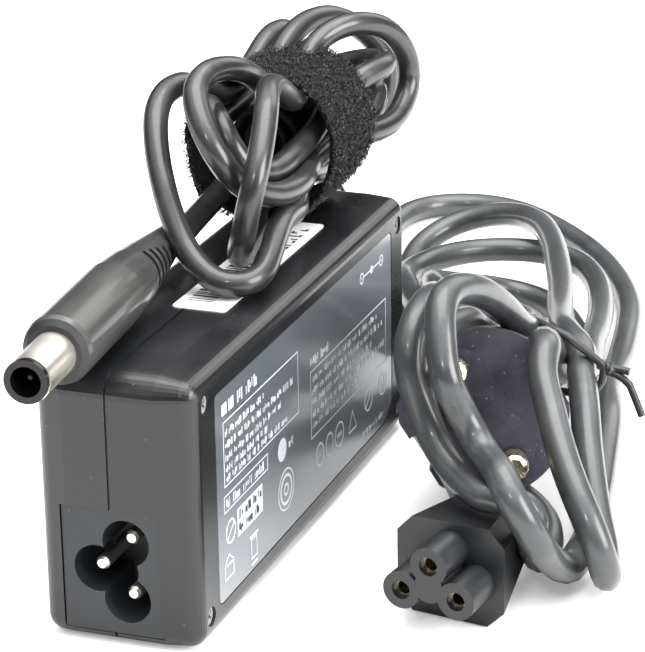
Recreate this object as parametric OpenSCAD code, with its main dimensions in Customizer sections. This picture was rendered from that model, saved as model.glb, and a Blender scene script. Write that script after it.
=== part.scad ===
// Laptop power adapter: a two-shell brick standing on its long narrow side, its output lead
// folded into a hank on top and held by a strap, and its mains lead coiled beside it.
// Frame: +X is the label side, +Y runs from the inlet end to the output end, +Z is up.
// The origin is at the middle of the brick's underside. All sizes are in millimetres.

/* [Case] */
// Length of the case, end to end
body_l = 107.5; // [104:0.5:116]
// Height of the case as it stands
body_h = 47.4; // [46:0.2:56]
// Thickness of the case, face to face
body_t = 28; // [27:0.5:34]
// Offset of the parting plane from mid thickness
seam_x = -0.9; // [-1.5:0.1:0]
// Straight band each side of the parting plane
land_w = 8; // [6:0.5:9]
// Draft angle of the sides beyond the straight band
draft = 4; // [1:0.5:6]
// Radius of the corners at the parting plane
corner_r = 4; // [3:0.5:5]
// Radius of the edges round each face
edge_r = 3; // [2:0.25:3.5]
// Wall thickness of the shells
wall = 2.2; // [1.8:0.1:2.4]
// Height of the tongue that locates the shells
tongue_h = 1.2; // [0.8:0.1:2]
// Thickness of the tongue
tongue_w = 1; // [0.8:0.1:1.2]

/* [Screws] */
// Screw centre from each end of the case
screw_in_y = 5.4; // [5:0.1:6.5]
// Screw centre from the top and the underside
screw_in_z = 5.1; // [4.8:0.1:6]
// Diameter of the screw head
screw_head_d = 3.2; // [2.8:0.1:4]
// Height of the screw head
screw_head_h = 1.2; // [0.8:0.1:1.6]
// Depth of the head below the face
screw_sink = 0.5; // [0.2:0.1:0.8]
// Diameter of the screw shank
screw_d = 2.2; // [1.8:0.1:2.4]
// Length of the screw under its head
screw_l = 19; // [16:0.5:21]
// Length of the short screw that bites the inlet
short_screw_l = 7; // [6.5:0.1:7.5]
// Outer diameter of the screw bosses
boss_d = 5.6; // [5:0.1:6]

/* [Label and sticker] */
// Length of the rating plate
label_l = 88.8; // [60:0.2:90]
// Height of the rating plate
label_h = 37; // [24:0.5:38]
// Thickness of the rating plate
label_t = 0.3; // [0.2:0.05:0.5]
// Corner radius of the rating plate
label_r = 1.2; // [0.5:0.1:3]
// Cut-off corner of the rating plate, along it
label_cut = 4.9; // [2:0.1:8]
// Width of the sticker on top
sticker_w = 9.8; // [6:0.2:10]
// Length of the sticker on top
sticker_l = 49.7; // [30:0.1:56]
// Thickness of the sticker
sticker_t = 0.2; // [0.1:0.05:0.3]

/* [Mains inlet] */
// Width of the inlet panel, across the case
inlet_w = 17.4; // [17:0.1:19]
// Height of the inlet panel
inlet_h = 21.8; // [21.5:0.1:23]
// Underside of the inlet panel above the underside of the case
inlet_z = 2.2; // [2:0.1:4]
// Depth of the inlet behind its panel
inlet_depth = 16; // [15:0.5:18]
// Depth of the socket
socket_depth = 12; // [10:0.5:12]
// Diameter of each lobe of the socket
lobe_d = 8.2; // [7.4:0.1:8.4]
// Distance between the line and neutral pins
pin_pitch = 10; // [9.5:0.1:10.5]
// Distance of the earth pin from their line
earth_offset = 5.2; // [5:0.1:5.5]
// Diameter of the inlet pins
inlet_pin_d = 2.36; // [2:0.02:2.6]
// Distance of the pin tips behind the panel
pin_recess = 2.4; // [1.5:0.1:4]

/* [Board and components] */
// Thickness of the circuit board
board_t = 1.6; // [1:0.1:2]
// Length of the circuit board
board_l = 80; // [79:0.5:81]
// Height of the circuit board
board_h = 38; // [37:0.5:39]
// Height of the posts under the board
post_h = 1.6; // [1:0.1:2]
// Diameter of the bulk capacitor
bulk_d = 16; // [12:0.5:16]
// Length of the bulk capacitor
bulk_l = 25; // [20:0.5:26]
// Side of the transformer core
core_w = 21; // [16:0.5:21]
// Height of the transformer core above the board
core_h = 17; // [12:0.5:18]
// Height of the heat sinks above the board
sink_h = 17; // [14:0.5:18]
// Thickness of the heat sinks
sink_t = 1.5; // [1:0.1:2]
// Diameter of the output capacitors
output_cap_d = 8; // [6:0.5:8]
// Height of the output capacitors
output_cap_h = 15; // [10:0.5:18]

/* [Output lead] */
// Diameter of the output cord
dc_cord_d = 4.5; // [4:0.1:4.6]
// Outer diameter of the gland boot at the case
gland_d = 9.6; // [8.6:0.2:10]
// Length of the gland boot outside the case
gland_l = 13; // [12:0.5:13]
// Diameter of the plug's barrel
barrel_d = 7.4; // [7:0.1:8]
// Length of the plug's barrel
barrel_l = 12.5; // [11:0.5:13]
// Diameter of the hole in the barrel
barrel_bore_d = 5; // [4.6:0.1:5.2]
// Diameter of the plug's centre pin
centre_pin_d = 0.7; // [0.6:0.05:1]
// Diameter of the plug's moulded body
plug_d = 11.6; // [11:0.1:12]
// Length of the plug's moulded body
plug_l = 36; // [34:0.5:37]
// Length of the plug's slotted boot
plug_boot_l = 22; // [20:0.5:23]
// Width of the strap
strap_w = 20; // [16:0.5:21]
// Outer diameter of the strap's loop
strap_d = 30; // [29.6:0.2:31]
// Thickness of the strap
strap_t = 2.2; // [1.8:0.1:2.4]

/* [Mains lead] */
// Diameter of the mains cord
mains_cord_d = 5.4; // [5:0.1:5.6]
// Diameter of each lobe of the connector's nose
nose_lobe_d = 6.6; // [6.2:0.1:7]
// Length of the connector's nose
nose_l = 8; // [6:0.5:10]
// Width of the connector's body
connector_w = 20; // [18:0.5:21]
// Height of the connector's body
connector_h = 17.6; // [17:0.2:18.4]
// Length of the connector's body
connector_l = 20; // [18:0.5:20.5]
// Diameter of the mains plug's face
plug_face_d = 30; // [28.5:0.5:30.5]
// Width of the mains plug's face across its flats
plug_flat_w = 27; // [25:0.5:27.5]
// Diameter of the mains plug's pins
mains_pin_d = 4.8; // [4:0.1:5]
// Free length of the mains plug's pins
mains_pin_l = 19; // [16:0.5:19.5]
// Distance between the mains plug's pins
mains_pin_pitch = 19; // [18:0.1:19.5]
// Diameter of the twist tie's wire
tie_d = 1.6; // [1.2:0.1:1.8]

/* [Hidden] */

fit_gap = 0.15;          // clearance between mating plastic parts
rest_gap = 0.3;          // clearance between round things that rest on each other
slip = 0.05;             // radial clearance of a screw or pin in its hole
face_fn = 32;            // facets of the rounded edges
half_l = body_l / 2;
half_t = body_t / 2;
label_depth = half_t - seam_x;
plain_depth = half_t + seam_x;
groove_w = 0.4;          // width of the groove at the parting plane
groove_in = 0.35;        // its depth

// ---- places that several parts share ----
screw_spots = [for (y = [-1, 1], z = [0, 1])
    [y * (half_l - screw_in_y), z == 0 ? screw_in_z : body_h - screw_in_z]];
end_wall = wall + max(label_depth - land_w, plain_depth - land_w) * tan(draft);
inner_x = half_t - wall;                  // inside of the label-side face
floor_x = -half_t + wall;                 // inside of the plain face
board_x = floor_x + post_h + board_t;     // component side of the board
head_x = half_t - screw_sink - screw_head_h; // underside of the screw heads
inlet_x = -1.2;                           // middle of the inlet across the case
inlet_face_y = -half_l + 0.5;             // outer face of the inlet panel
inlet_mid_z = inlet_z + inlet_h / 2 + 0.3;
line_x = inlet_x + earth_offset / 2 - 0.1;
earth_x = line_x - earth_offset;
lug_x = inlet_x + inlet_w / 2 + 2.6;      // top of the inlet's screw lug
flange_y = end_wall - 0.5 + fit_gap;      // inlet flange behind the inlet's outer face
pin_sleeve_l = 3.4;                       // insulated length of the line pins
pin_tail_d = inlet_pin_d - 0.8;           // diameter of the pins' shanks
gland_z = body_h / 2;
gland_neck_d = gland_d - 2;
board_y = -half_l + 18.2;                 // inlet end of the board
board_z = (body_h - board_h) / 2;
core_y = 26.5 + bulk_l + 2;               // transformer's place on the board
core_z = 8.5;
core_leg = 4;                             // thickness of the transformer core's legs
gland_flange_t = 1.8;                     // gland flange inside the end wall
plug_z = plug_d / 2 + rest_gap;           // plug axis above the top of the case
plug_tip = [-4.6, -74];                   // tip of the output plug, seen from above
plug_yaw = 5;                             // turn of the plug about the vertical
strap_spot = [-7, 40];                    // middle of the strap, seen from above
strap_z = strap_d / 2 + rest_gap;         // strap centre above the top of the case

// Routes of the cords, laid by hand. The output lead's are measured from the top of the case
// (its start from the gland, its tail from the plug), and the mains lead's from the ground
// beside the case (its start from the connector's boot and its end from the plug, which they
// turn with).
dc_start_route = [[0, 0, 0], [0, 5, 0], [-1, 11, 3], [-3, 15, 9], [-4, 16, 17], [-4, 13, 24],
    [-2, 7, 29.5], [1, 1, 31.6]];
dc_tail_route = [[0, 0, 0], [0, 5, 0], [0, 10, 0.5], [1, 18, 1], [3.8, 25.6, 1.8]];
hank_route = [[-6, 52, 9.4], [-1, 60, 9], [5, 68, 12], [8, 75, 18], [8, 77, 24], [4, 73, 30],
    [-1, 64, 32], [-6, 53, 23], [-7, 40, 21.2], [-7, 28, 22], [-9, 15, 28], [-10, 3, 31],
    [-10, -7, 27], [-7, -13, 19], [-1, -15, 10], [4, -10, 5], [4, 2, 5], [1, 14, 5.5],
    [-4, 27, 8.6], [-7, 40, 9.2]];
hank_radii = [5.2, 4.4, 4, 3.6, 3.6, 3.8, 4.4, 5.4, 5.6, 5.2, 4, 3.6, 3.2, 3, 3, 3.6, 4, 4.4,
    5.2, 5.6];
boot_route = [[0, 0, 0], [0, 1.5, 0], [-0.4, 4, -1.2], [-1.8, 6.5, -2.5]];
mains_start_route = [[0, 0, 0], [-1.4, 2.5, -1.3], [-5, 5, -1.9], [-11.4, 7.5, -2.2],
    [-18.6, 11.4, -2.2], [-24.8, 18.6, -2.2], [-29.6, 27.5, -2.2], [-33.8, 38, -2.2],
    [-37, 49.6, -2], [-38.4, 58.5, -0.2]];
mains_end_route = [[0, 0, 0], [0, 4, 0], [-0.5, 9, 1], [-1.6, 16.2, 4.9]];
tie_low = [56, 44, 13];
tie_high = [46, 45, 25.5];
coil_route = [[63, -4, 4.2], [67, -4, 3.2], [70, 2, 3.2], [68, 15, 4], [63, 27, 8.5],
    [58.5, 36, 12], tie_low, [54.3, 52, 13], [52.5, 62, 11.5], [51, 76, 9.5], [45, 98, 10],
    [37, 126, 11], [24, 150, 11], [8, 166, 11], [-8, 169, 11], [-16, 158, 10], [-14, 138, 9],
    [-7, 116, 9], [1, 96, 9], [10, 80, 9], [23, 66, 13], [35, 58, 19], [43, 52, 23.5], tie_high,
    [48, 38, 29], [49.5, 29, 35], [46.5, 20, 39.5], [43.5, 9, 45.5], [41.5, -3, 49.5],
    [41, -12, 48.5], [41, -15.5, 43], [41.5, -15.5, 36], [43.4, -11, 27], [44.5, -3, 17.5],
    [49.5, 0.8, 12], [54.5, 1.4, 10.2], [59, -1, 7.4]];
coil_radii = [2.6, 2.8, 2.8, 3, 3.8, 4.6, 4.6, 4.8, 6, 7.6, 9, 10, 10.4, 10.4, 10, 9, 8, 8, 8,
    7.4, 6.4, 5.4, 4.8, 4.6, 4.4, 3.8, 3.2, 2.8, 2.8, 2.6, 2.6, 2.6, 2.6, 2.6, 2.4, 2.4, 2.4];

// True for the screw that stands beside the inlet
function is_inlet_end(p) = p[0] < 0 && p[1] < body_h / 2;

// ---- shared shapes ----

// A tube swept along a route, with a radius at each of its points; closed joins its ends.
// Each ring carries its turn on from the ring before, so the tube never pinches.
function unit(v) = v / norm(v);
function level(v, dir) = unit(v - (v * dir) * dir);
function turned(v, dir, angle) = v * cos(angle) + cross(dir, v) * sin(angle);
function dirs_of(r, closed) = let (n = len(r)) [for (i = [0 : n - 1])
    closed ? unit(r[(i + 1) % n] - r[(i + n - 1) % n]) : unit(r[min(i + 1, n - 1)] - r[max(i - 1, 0)])];
function sides_of(dirs) = [for (i = 0, s = level([0.3, -0.2, 1], dirs[0]); i < len(dirs);
    i = i + 1, s = level(s, dirs[min(i, len(dirs) - 1)])) s];
function slip_of(dirs, sides) = let (last = level(sides[len(dirs) - 1], dirs[0]))
    atan2(cross(last, sides[0]) * dirs[0], last * sides[0]);
function ring(mid, dir, side, radius, n) = let (up = cross(side, dir))
    [for (k = [0 : n - 1]) mid + radius * (cos(360 * k / n) * side + sin(360 * k / n) * up)];
module tube(route, radii, facets = 10, closed = false) {
    n = len(route);
    dirs = dirs_of(route, closed);
    sides = sides_of(dirs);
    slip_turn = closed ? slip_of(dirs, sides) : 0;
    points = [for (i = [0 : n - 1]) each ring(route[i], dirs[i],
        turned(sides[i], dirs[i], slip_turn * i / n), radii[i % len(radii)], facets)];
    rings = closed ? n : n - 1;
    walls = [for (i = [0 : rings - 1], k = [0 : facets - 1])
        let (a = i * facets, b = (i + 1) % n * facets, m = (k + 1) % facets)
        each [[a + k, b + k, b + m], [a + k, b + m, a + m]]];
    ends = closed ? [] : [[for (k = [0 : facets - 1]) k],
        [for (k = [facets - 1 : -1 : 0]) (n - 1) * facets + k]];
    polyhedron(points, concat(walls, ends), convexity = 6);
}

// A rectangle with rounded corners, centred
module round_rect(w, h, r) {
    union() {
        square([w - 2 * r, h], center = true);
        square([w, h - 2 * r], center = true);
        for (x = [-1, 1], y = [-1, 1]) translate([x * (w / 2 - r), y * (h / 2 - r)]) circle(r, $fn = 32);
    }
}

// Turns a shape drawn in X and Y to lie in the Y and Z plane, with its height along +X
module across_x() { multmatrix([[0, 0, 1, 0], [1, 0, 0, 0], [0, 1, 0, 0], [0, 0, 0, 1]]) children(); }

// ---- case ----

// Outer form of one half, from the parting plane at x = 0 to its face at x = depth
module half_skin(depth) {
    inset = (depth - land_w) * tan(draft);
    hull() for (y = [-1, 1], z = [0, 1]) {
        translate([0, y * (half_l - corner_r), z == 0 ? corner_r : body_h - corner_r])
            rotate([0, 90, 0]) cylinder(r = corner_r, h = land_w, $fn = face_fn);
        translate([depth - edge_r, y * (half_l - inset - edge_r),
            z == 0 ? inset + edge_r : body_h - inset - edge_r])
            rotate([0, 90, 0]) sphere(edge_r, $fn = face_fn);
    }
}

// The hollow inside one half
module half_hollow(depth) {
    translate([-1, -half_l + end_wall, end_wall])
        cube([depth - wall + 1, body_l - 2 * end_wall, body_h - 2 * end_wall]);
}

// Tongues inside the wall at the parting plane; grown by a clearance, they cut their rebates
module tongues(grow) {
    run = half_l - screw_in_y - boss_d / 2 - 3;
    end_run = 8;
    depth = tongue_h + grow;
    thick = tongue_w + 2 * grow;
    translate([seam_x - depth, 0, 0]) {
        for (z = [end_wall - tongue_w - grow, body_h - end_wall - grow])
            translate([0, -run - grow, z]) cube([depth + 0.5, 2 * run + 2 * grow, thick]);
        for (z = [gland_z - 6 - end_run, gland_z + 6])
            translate([0, half_l - end_wall - grow, z - grow])
                cube([depth + 0.5, thick, end_run + 2 * grow]);
        translate([0, -half_l + end_wall - tongue_w - grow, inlet_z + inlet_h + 3 - grow])
            cube([depth + 0.5, thick, end_run + 2 * grow]);
    }
}

// Fine groove round the case at the parting plane
module seam_groove() {
    across_x() linear_extrude(groove_w) translate([0, body_h / 2]) difference() {
        square([body_l + 10, body_h + 10], center = true);
        round_rect(body_l - 2 * groove_in, body_h - 2 * groove_in, corner_r - groove_in);
    }
}

// A screw boss between two heights, webbed to the end wall
module boss(spot, from, to) {
    end = spot[0] > 0 ? 1 : -1;
    translate([from, spot[0], spot[1]]) rotate([0, 90, 0]) cylinder(d = boss_d, h = to - from, $fn = 40);
    translate([from, spot[0] + (end > 0 ? 0 : -boss_d / 2 - 0.5), spot[1] - 1])
        cube([to - from, boss_d / 2 + 0.5, 2]);
}

// Openings that both shells leave for the inlet and the gland
module end_openings() {
    translate([inlet_x, -half_l, inlet_z + inlet_h / 2])
        cube([inlet_w + 2 * fit_gap, 2 * end_wall + 2, inlet_h + 2 * fit_gap], center = true);
    translate([seam_x, half_l - end_wall - 1, gland_z]) rotate([-90, 0, 0])
        cylinder(d = gland_neck_d, h = end_wall + 2, $fn = 48);
}

module label_side_shell() {
    color("#232427") difference() {
        union() {
            translate([seam_x, 0, 0]) difference() {
                half_skin(label_depth);
                half_hollow(label_depth);
            }
            for (p = screw_spots) boss(p, is_inlet_end(p) ? lug_x : seam_x, half_t - wall / 2);
            tongues(0);
        }
        end_openings();
        for (p = screw_spots) translate([seam_x - 1, p[0], p[1]]) rotate([0, 90, 0]) {
            cylinder(d = screw_d + 4 * slip, h = label_depth + 2, $fn = 32);
            translate([0, 0, head_x - seam_x + 1]) cylinder(d = screw_head_d + 4 * slip, h = 4, $fn = 32);
        }
        translate([half_t - label_t - 0.1, 0, 0]) label_outline(1, fit_gap);
    }
}

module plain_side_shell() {
    color("#1f2023") difference() {
        union() {
            translate([seam_x, 0, 0]) mirror([1, 0, 0]) difference() {
                half_skin(plain_depth);
                half_hollow(plain_depth);
            }
            for (p = screw_spots) if (!is_inlet_end(p)) boss(p, -half_t + wall / 2, seam_x);
            for (y = [0.1, 0.5, 0.9], z = [0.12, 0.88])
                translate([floor_x - 0.5, board_y + y * board_l, board_z + z * board_h])
                    rotate([0, 90, 0]) cylinder(d = 4, h = post_h + 0.5, $fn = 24);
        }
        tongues(fit_gap);
        end_openings();
        translate([seam_x - groove_w, 0, 0]) seam_groove();
        for (p = screw_spots) translate([head_x - screw_l - 0.5, p[0], p[1]])
            rotate([0, 90, 0]) cylinder(d = screw_d + 2 * slip, h = screw_l, $fn = 32);
    }
}

// Cross-head screws; the one by the inlet is short and bites the inlet's lug
module shell_screws() {
    color("#55565a") for (p = screw_spots) translate([head_x, p[0], p[1]]) rotate([0, 90, 0]) {
        shank = is_inlet_end(p) ? short_screw_l : screw_l;
        difference() {
            union() {
                cylinder(d = screw_head_d, h = screw_head_h, $fn = 32);
                translate([0, 0, -shank]) cylinder(d = screw_d, h = shank, $fn = 32);
            }
            for (turn = [0, 90]) rotate([0, 0, turn + 45])
                translate([-screw_head_d * 0.36, -0.22, screw_head_h - 0.6])
                    cube([screw_head_d * 0.72, 0.44, 1]);
        }
    }
}

// The rating plate's outline, grown by a clearance, with its cut-off corner
module label_outline(h, grow) {
    across_x() linear_extrude(h) translate([0, body_h / 2]) difference() {
        round_rect(label_l + 2 * grow, label_h + 2 * grow, label_r);
        translate([label_l / 2 + grow, -label_h / 2 - grow])
            polygon([[-label_cut, -1], [1, -1], [1, label_cut * 0.6], [0, label_cut * 0.6],
                [-label_cut, 0]]);
    }
}

module rating_label() {
    color("#8d95a0") translate([half_t - label_t - 0.1, 0, 0]) label_outline(label_t, 0);
}

module barcode_sticker() {
    color("#f2f2ef") translate([seam_x - 2.6 + sticker_w / 2, 4.4, body_h])
        linear_extrude(sticker_t) round_rect(sticker_w, sticker_l, 1);
}

// ---- mains inlet ----

// The three-lobed outline of the socket or the nose, about the middle of the live pins' line,
// with the earth lobe at -X
module clover(d) {
    for (z = [-1, 1]) translate([0, z * pin_pitch / 2]) circle(d = d, $fn = 48);
    translate([-earth_offset, 0]) circle(d = d, $fn = 48);
    translate([-earth_offset * 0.25, 0]) circle(d = d - 1.4, $fn = 48);
}

module inlet_body() {
    flange = 0.9;
    floor_z = end_wall + fit_gap;
    color("#17171a") translate([0, inlet_face_y, 0]) difference() {
        union() {
            translate([inlet_x, inlet_depth / 2, inlet_z + inlet_h / 2])
                cube([inlet_w, inlet_depth, inlet_h], center = true);
            translate([inlet_x - inlet_w / 2 - flange, flange_y, floor_z])
                cube([inlet_w + 2 * flange, 1.6, inlet_z + inlet_h + flange - floor_z]);
            translate([inlet_x, flange_y, floor_z]) cube([lug_x - inlet_x, 6.4, 5.2]);
        }
        translate([-half_t, flange_y, -1]) cube([body_t, inlet_depth, 1 + floor_z]);
        translate([line_x, -1, inlet_mid_z]) inlet_prism(1 + socket_depth, lobe_d);
        for (z = [-1, 1]) translate([line_x, 0, inlet_mid_z + z * pin_pitch / 2]) pin_hole();
        translate([earth_x, 0, inlet_mid_z]) pin_hole();
        translate([head_x - short_screw_l - 0.1, screw_in_y - 0.5, screw_in_z])
            rotate([0, 90, 0]) cylinder(d = screw_d + 2 * slip, h = short_screw_l, $fn = 32);
    }
}

module inlet_prism(h, d) { rotate([-90, 0, 0]) mirror([0, 1, 0]) linear_extrude(h) clover(d); }

module pin_hole() {
    rotate([-90, 0, 0]) cylinder(d = pin_tail_d, h = inlet_depth + 1, $fn = 32);
}

// A round-nosed inlet pin: a full-width end, then a thinner shank through the inlet
module inlet_pin(lead, full) {
    r = inlet_pin_d / 2;
    shank = inlet_depth - pin_recess + lead + 3;
    translate([0, inlet_face_y + pin_recess - lead, 0]) rotate([-90, 0, 0]) rotate_extrude($fn = 32)
        polygon([[0, 0], [r - 0.4, 0], [r, 0.5], [r, full], [pin_tail_d / 2, full],
            [pin_tail_d / 2, shank], [0, shank]]);
}

module inlet_line_pins() {
    color("#c9b98f") for (z = [-1, 1]) translate([line_x, 0, inlet_mid_z + z * pin_pitch / 2])
        inlet_pin(0, socket_depth - pin_recess - pin_sleeve_l);
}

module inlet_earth_pin() {
    lead = 0.6;
    color("#cfcabf") translate([earth_x, 0, inlet_mid_z]) inlet_pin(lead, socket_depth - pin_recess + lead);
}

// Insulating sleeves, flush with the bright ends of the line and neutral pins
module inlet_pin_sleeves() {
    color("#101012") for (z = [-1, 1])
        translate([line_x, inlet_face_y + socket_depth - pin_sleeve_l, inlet_mid_z + z * pin_pitch / 2])
            rotate([-90, 0, 0]) difference() {
                cylinder(d = inlet_pin_d, h = pin_sleeve_l, $fn = 32);
                translate([0, 0, -1]) cylinder(d = pin_tail_d, h = pin_sleeve_l + 2, $fn = 32);
            }
}

// ---- board and components ----

// Stands a child on the component side of the board, at y and z measured from its corner
module on_board(y, z) { translate([board_x, board_y + y, board_z + z]) children(); }

module circuit_board() {
    color("#2f5d3a") translate([board_x - board_t, board_y, board_z]) cube([board_t, board_l, board_h]);
}

module input_wires() {
    wire_y = inlet_face_y + inlet_depth + 2;
    color("#7a4a2a") {
        for (z = [-1, 1]) translate([board_x, wire_y, inlet_mid_z + z * pin_pitch / 2])
            rotate([0, 90, 0]) cylinder(d = 1.2, h = line_x - pin_tail_d / 2 - board_x, $fn = 16);
        translate([board_x, wire_y, inlet_mid_z])
            rotate([0, 90, 0]) cylinder(d = 1.2, h = earth_x - pin_tail_d / 2 - board_x, $fn = 16);
    }
}

module fuse() {
    color("#d8d2c0") on_board(6, 33) rotate([0, 90, 0]) cylinder(d = 4.5, h = 8, $fn = 32);
}

module filter_capacitor() {
    color("#c8a03c") on_board(10, 22) cube([13, 8, 15]);
}

module line_choke() {
    color("#6a3a2a") on_board(14, 11) {
        rotate([0, 90, 0]) rotate_extrude($fn = 48) translate([5.5, 3.2]) circle(2.6, $fn = 24);
        for (s = [-1, 1]) translate([0, s * 5.5, 0]) rotate([0, 90, 0]) cylinder(d = 1.4, h = 2, $fn = 16);
    }
}

module bridge_rectifier() {
    color("#18181a") on_board(20.5, 22) difference() {
        cube([11, 3.6, 15]);
        translate([8, -1, -1]) cube([4, 1.6, 3]);
    }
}

module bulk_capacitor() {
    color("#24405c") on_board(26.5, 28.6) translate([bulk_d / 2, 0, 0]) rotate([-90, 0, 0])
        rotate_extrude($fn = 64) polygon([[0, 0], [bulk_d / 2 - 0.5, 0], [bulk_d / 2, 0.6],
            [bulk_d / 2, 2], [bulk_d / 2 - 0.5, 2.5],
            [bulk_d / 2, 3], [bulk_d / 2, bulk_l], [0, bulk_l]]);
}

module primary_heat_sink() {
    color("#b9bcc0") on_board(26.5, 18) {
        cube([sink_h, bulk_l, sink_t]);
        cube([sink_t, bulk_l, 1.9]);
        for (k = [0 : 2]) translate([sink_h - 1 - 4 * k, 0, -0.8]) cube([1, 6, 1]);
    }
}

module switching_transistor() {
    color("#202022") on_board(36, 18) to_package();
}

module transformer_core() {
    color("#3a3a3e") on_board(core_y, core_z) difference() {
        cube([core_h, core_w, core_w]);
        for (z = [core_leg, core_w / 2 + core_leg * 0.6]) translate([core_leg, -1, z])
            cube([core_h - 2 * core_leg, core_w + 2, core_w / 2 - core_leg * 1.6]);
    }
}

module transformer_winding() {
    over = 1.4;
    color("#d9b23a") on_board(core_y, core_z) difference() {
        translate([core_leg, -over, core_leg])
            cube([core_h - 2 * core_leg, core_w + 2 * over, core_w - 2 * core_leg]);
        translate([0, -1, core_w / 2 - core_leg * 0.6]) cube([core_h, core_w + 2, core_leg * 1.2]);
    }
}

module secondary_heat_sink() {
    color("#b9bcc0") on_board(52, 4.6) {
        cube([sink_h - 1, 24, sink_t]);
        for (k = [0 : 2]) translate([sink_h - 2 - 4 * k, 18, sink_t - 0.2]) cube([1, 6, 1]);
    }
}

module output_rectifier() {
    color("#202022") on_board(58, 4.6) to_package();
}

// A transistor package bolted against a heat sink, with its three legs
module to_package() {
    translate([3, 0, -4.4]) cube([9.5, 10, 4.4]);
    for (k = [0 : 2]) translate([0, 2 + 2.6 * k, -2.6]) cube([3.2, 0.9, 0.6]);
}

module output_capacitors() {
    color("#26303c") for (k = [0, 1])
        on_board(58 + k * (output_cap_d + 0.6), core_z + core_w + 0.1 + output_cap_d / 2)
            rotate([0, 90, 0]) cylinder(d = output_cap_d, h = output_cap_h, $fn = 48);
}

module feedback_coupler() {
    color("#111113") on_board(72.5, core_z + core_w + 2) cube([3.6, 4.6, 5]);
}

module insulation_sheet() {
    sheet_t = 0.4;
    color("#d9d4c4") translate([inner_x - sheet_t, board_y + 1, board_z + 4])
        cube([sheet_t, board_l - 6, board_h - 8]);
}

module output_wires() {
    wire_y = board_y + board_l - 2;
    wire_end = half_l - end_wall - gland_flange_t;
    color("#2a2a2c") for (z = [-1, 1]) translate([0, 0, gland_z + z * 1.2]) {
        translate([board_x, wire_y, 0]) rotate([0, 90, 0]) cylinder(d = 1.6, h = seam_x - board_x, $fn = 16);
        translate([seam_x, wire_y, 0]) sphere(d = 1.6, $fn = 16);
        translate([seam_x, wire_y, 0]) rotate([-90, 0, 0])
            cylinder(d = 1.6, h = wire_end - wire_y, $fn = 16);
    }
}

// ---- output lead ----

module dc_gland() {
    neck_r = gland_neck_d / 2;
    tip_r = dc_cord_d / 2 + 0.6;
    inside = -end_wall - gland_flange_t;
    color("#1b1b1d") translate([seam_x, half_l, gland_z]) difference() {
        rotate([-90, 0, 0]) rotate_extrude($fn = 48)
            polygon([[0, inside], [neck_r + 1.4, inside], [neck_r + 1.4, -end_wall - fit_gap],
                [neck_r - slip, -end_wall - fit_gap], [neck_r - slip, slip], [gland_d / 2, slip],
                [gland_d / 2, 1.6], [tip_r, gland_l], [0, gland_l]]);
        for (k = [0 : 3], s = [-1, 1]) translate([s * gland_d / 2, 3 + 2.4 * k, 0])
            cube([gland_d - dc_cord_d * 0.9, 1.1, gland_d + 2], center = true);
    }
}

module dc_cord_start() {
    color("#2b2c30") translate([seam_x, half_l + gland_l, gland_z])
        tube(dc_start_route, [dc_cord_d / 2]);
}

module dc_cord_hank() {
    color("#2b2c30") translate([0, 0, body_h]) tube(hank_route, hank_radii, 12, true);
}

module dc_cord_tail() {
    color("#2b2c30") at_plug() translate([0, barrel_l + plug_l + plug_boot_l, 0])
        tube(dc_tail_route, [dc_cord_d / 2]);
}

// Places a child with its +Y along the output plug, from the tip towards the cord
module at_plug() {
    translate([plug_tip[0], plug_tip[1], body_h + plug_z]) rotate([0, 0, plug_yaw]) children();
}

module dc_plug_moulding() {
    tail_r = dc_cord_d / 2 + 0.5;
    body_end = barrel_l + plug_l;
    color("#3a3b3e") at_plug() difference() {
        rotate([-90, 0, 0]) rotate_extrude($fn = 64)
            polygon([[0, barrel_l], [plug_d / 2 - 1.2, barrel_l], [plug_d / 2 - 0.3, barrel_l + 0.9],
                [plug_d / 2, barrel_l + 2], [plug_d / 2, body_end - 8], [plug_d / 2 - 0.6, body_end],
                [tail_r, body_end + plug_boot_l], [0, body_end + plug_boot_l]]);
        for (k = [0 : 4], s = [-1, 1]) translate([s * plug_d / 2, body_end + 2 + 2.6 * k, 0])
            cube([plug_d - dc_cord_d * 0.9 - k * 0.5, 1.2, plug_d + 2], center = true);
    }
}

module dc_plug_barrel() {
    tip_gap = 1;
    color("#c9c2b2") at_plug() rotate([-90, 0, 0]) difference() {
        translate([0, 0, tip_gap]) cylinder(d = barrel_d, h = barrel_l - tip_gap, $fn = 64);
        translate([0, 0, -1]) cylinder(d = barrel_bore_d + 1, h = barrel_l, $fn = 64);
    }
}

module dc_plug_insulator() {
    color("#131315") at_plug() rotate([-90, 0, 0]) difference() {
        union() {
            cylinder(d = barrel_d - 0.2, h = 1, $fn = 64);
            cylinder(d = barrel_bore_d + 1, h = barrel_l - 1, $fn = 64);
        }
        translate([0, 0, -1]) cylinder(d = barrel_bore_d, h = barrel_l - 0.6, $fn = 64);
    }
}

module dc_plug_centre_pin() {
    color("#c8b06a") at_plug() rotate([-90, 0, 0]) translate([0, 0, 2])
        cylinder(d = centre_pin_d, h = barrel_l - 3.6, $fn = 24);
}

// Hook-and-loop strap: a loop round the hank with its free end hanging down beside it
module cable_strap() {
    inner_d = strap_d - 2 * strap_t;
    flap = strap_d / 2 - 1;
    color("#1d1d20") translate([strap_spot[0], strap_spot[1] + strap_w / 2, body_h + strap_z])
        rotate([90, 0, 0]) linear_extrude(strap_w) difference() {
            union() {
                circle(d = strap_d, $fn = 96);
                translate([-strap_d / 2 - 0.2, -flap]) square([strap_t, flap]);
                translate([-strap_d / 2 - 0.2 + strap_t / 2, -flap]) circle(d = strap_t, $fn = 24);
            }
            circle(d = inner_d, $fn = 96);
        }
}

// ---- mains lead ----

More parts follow.
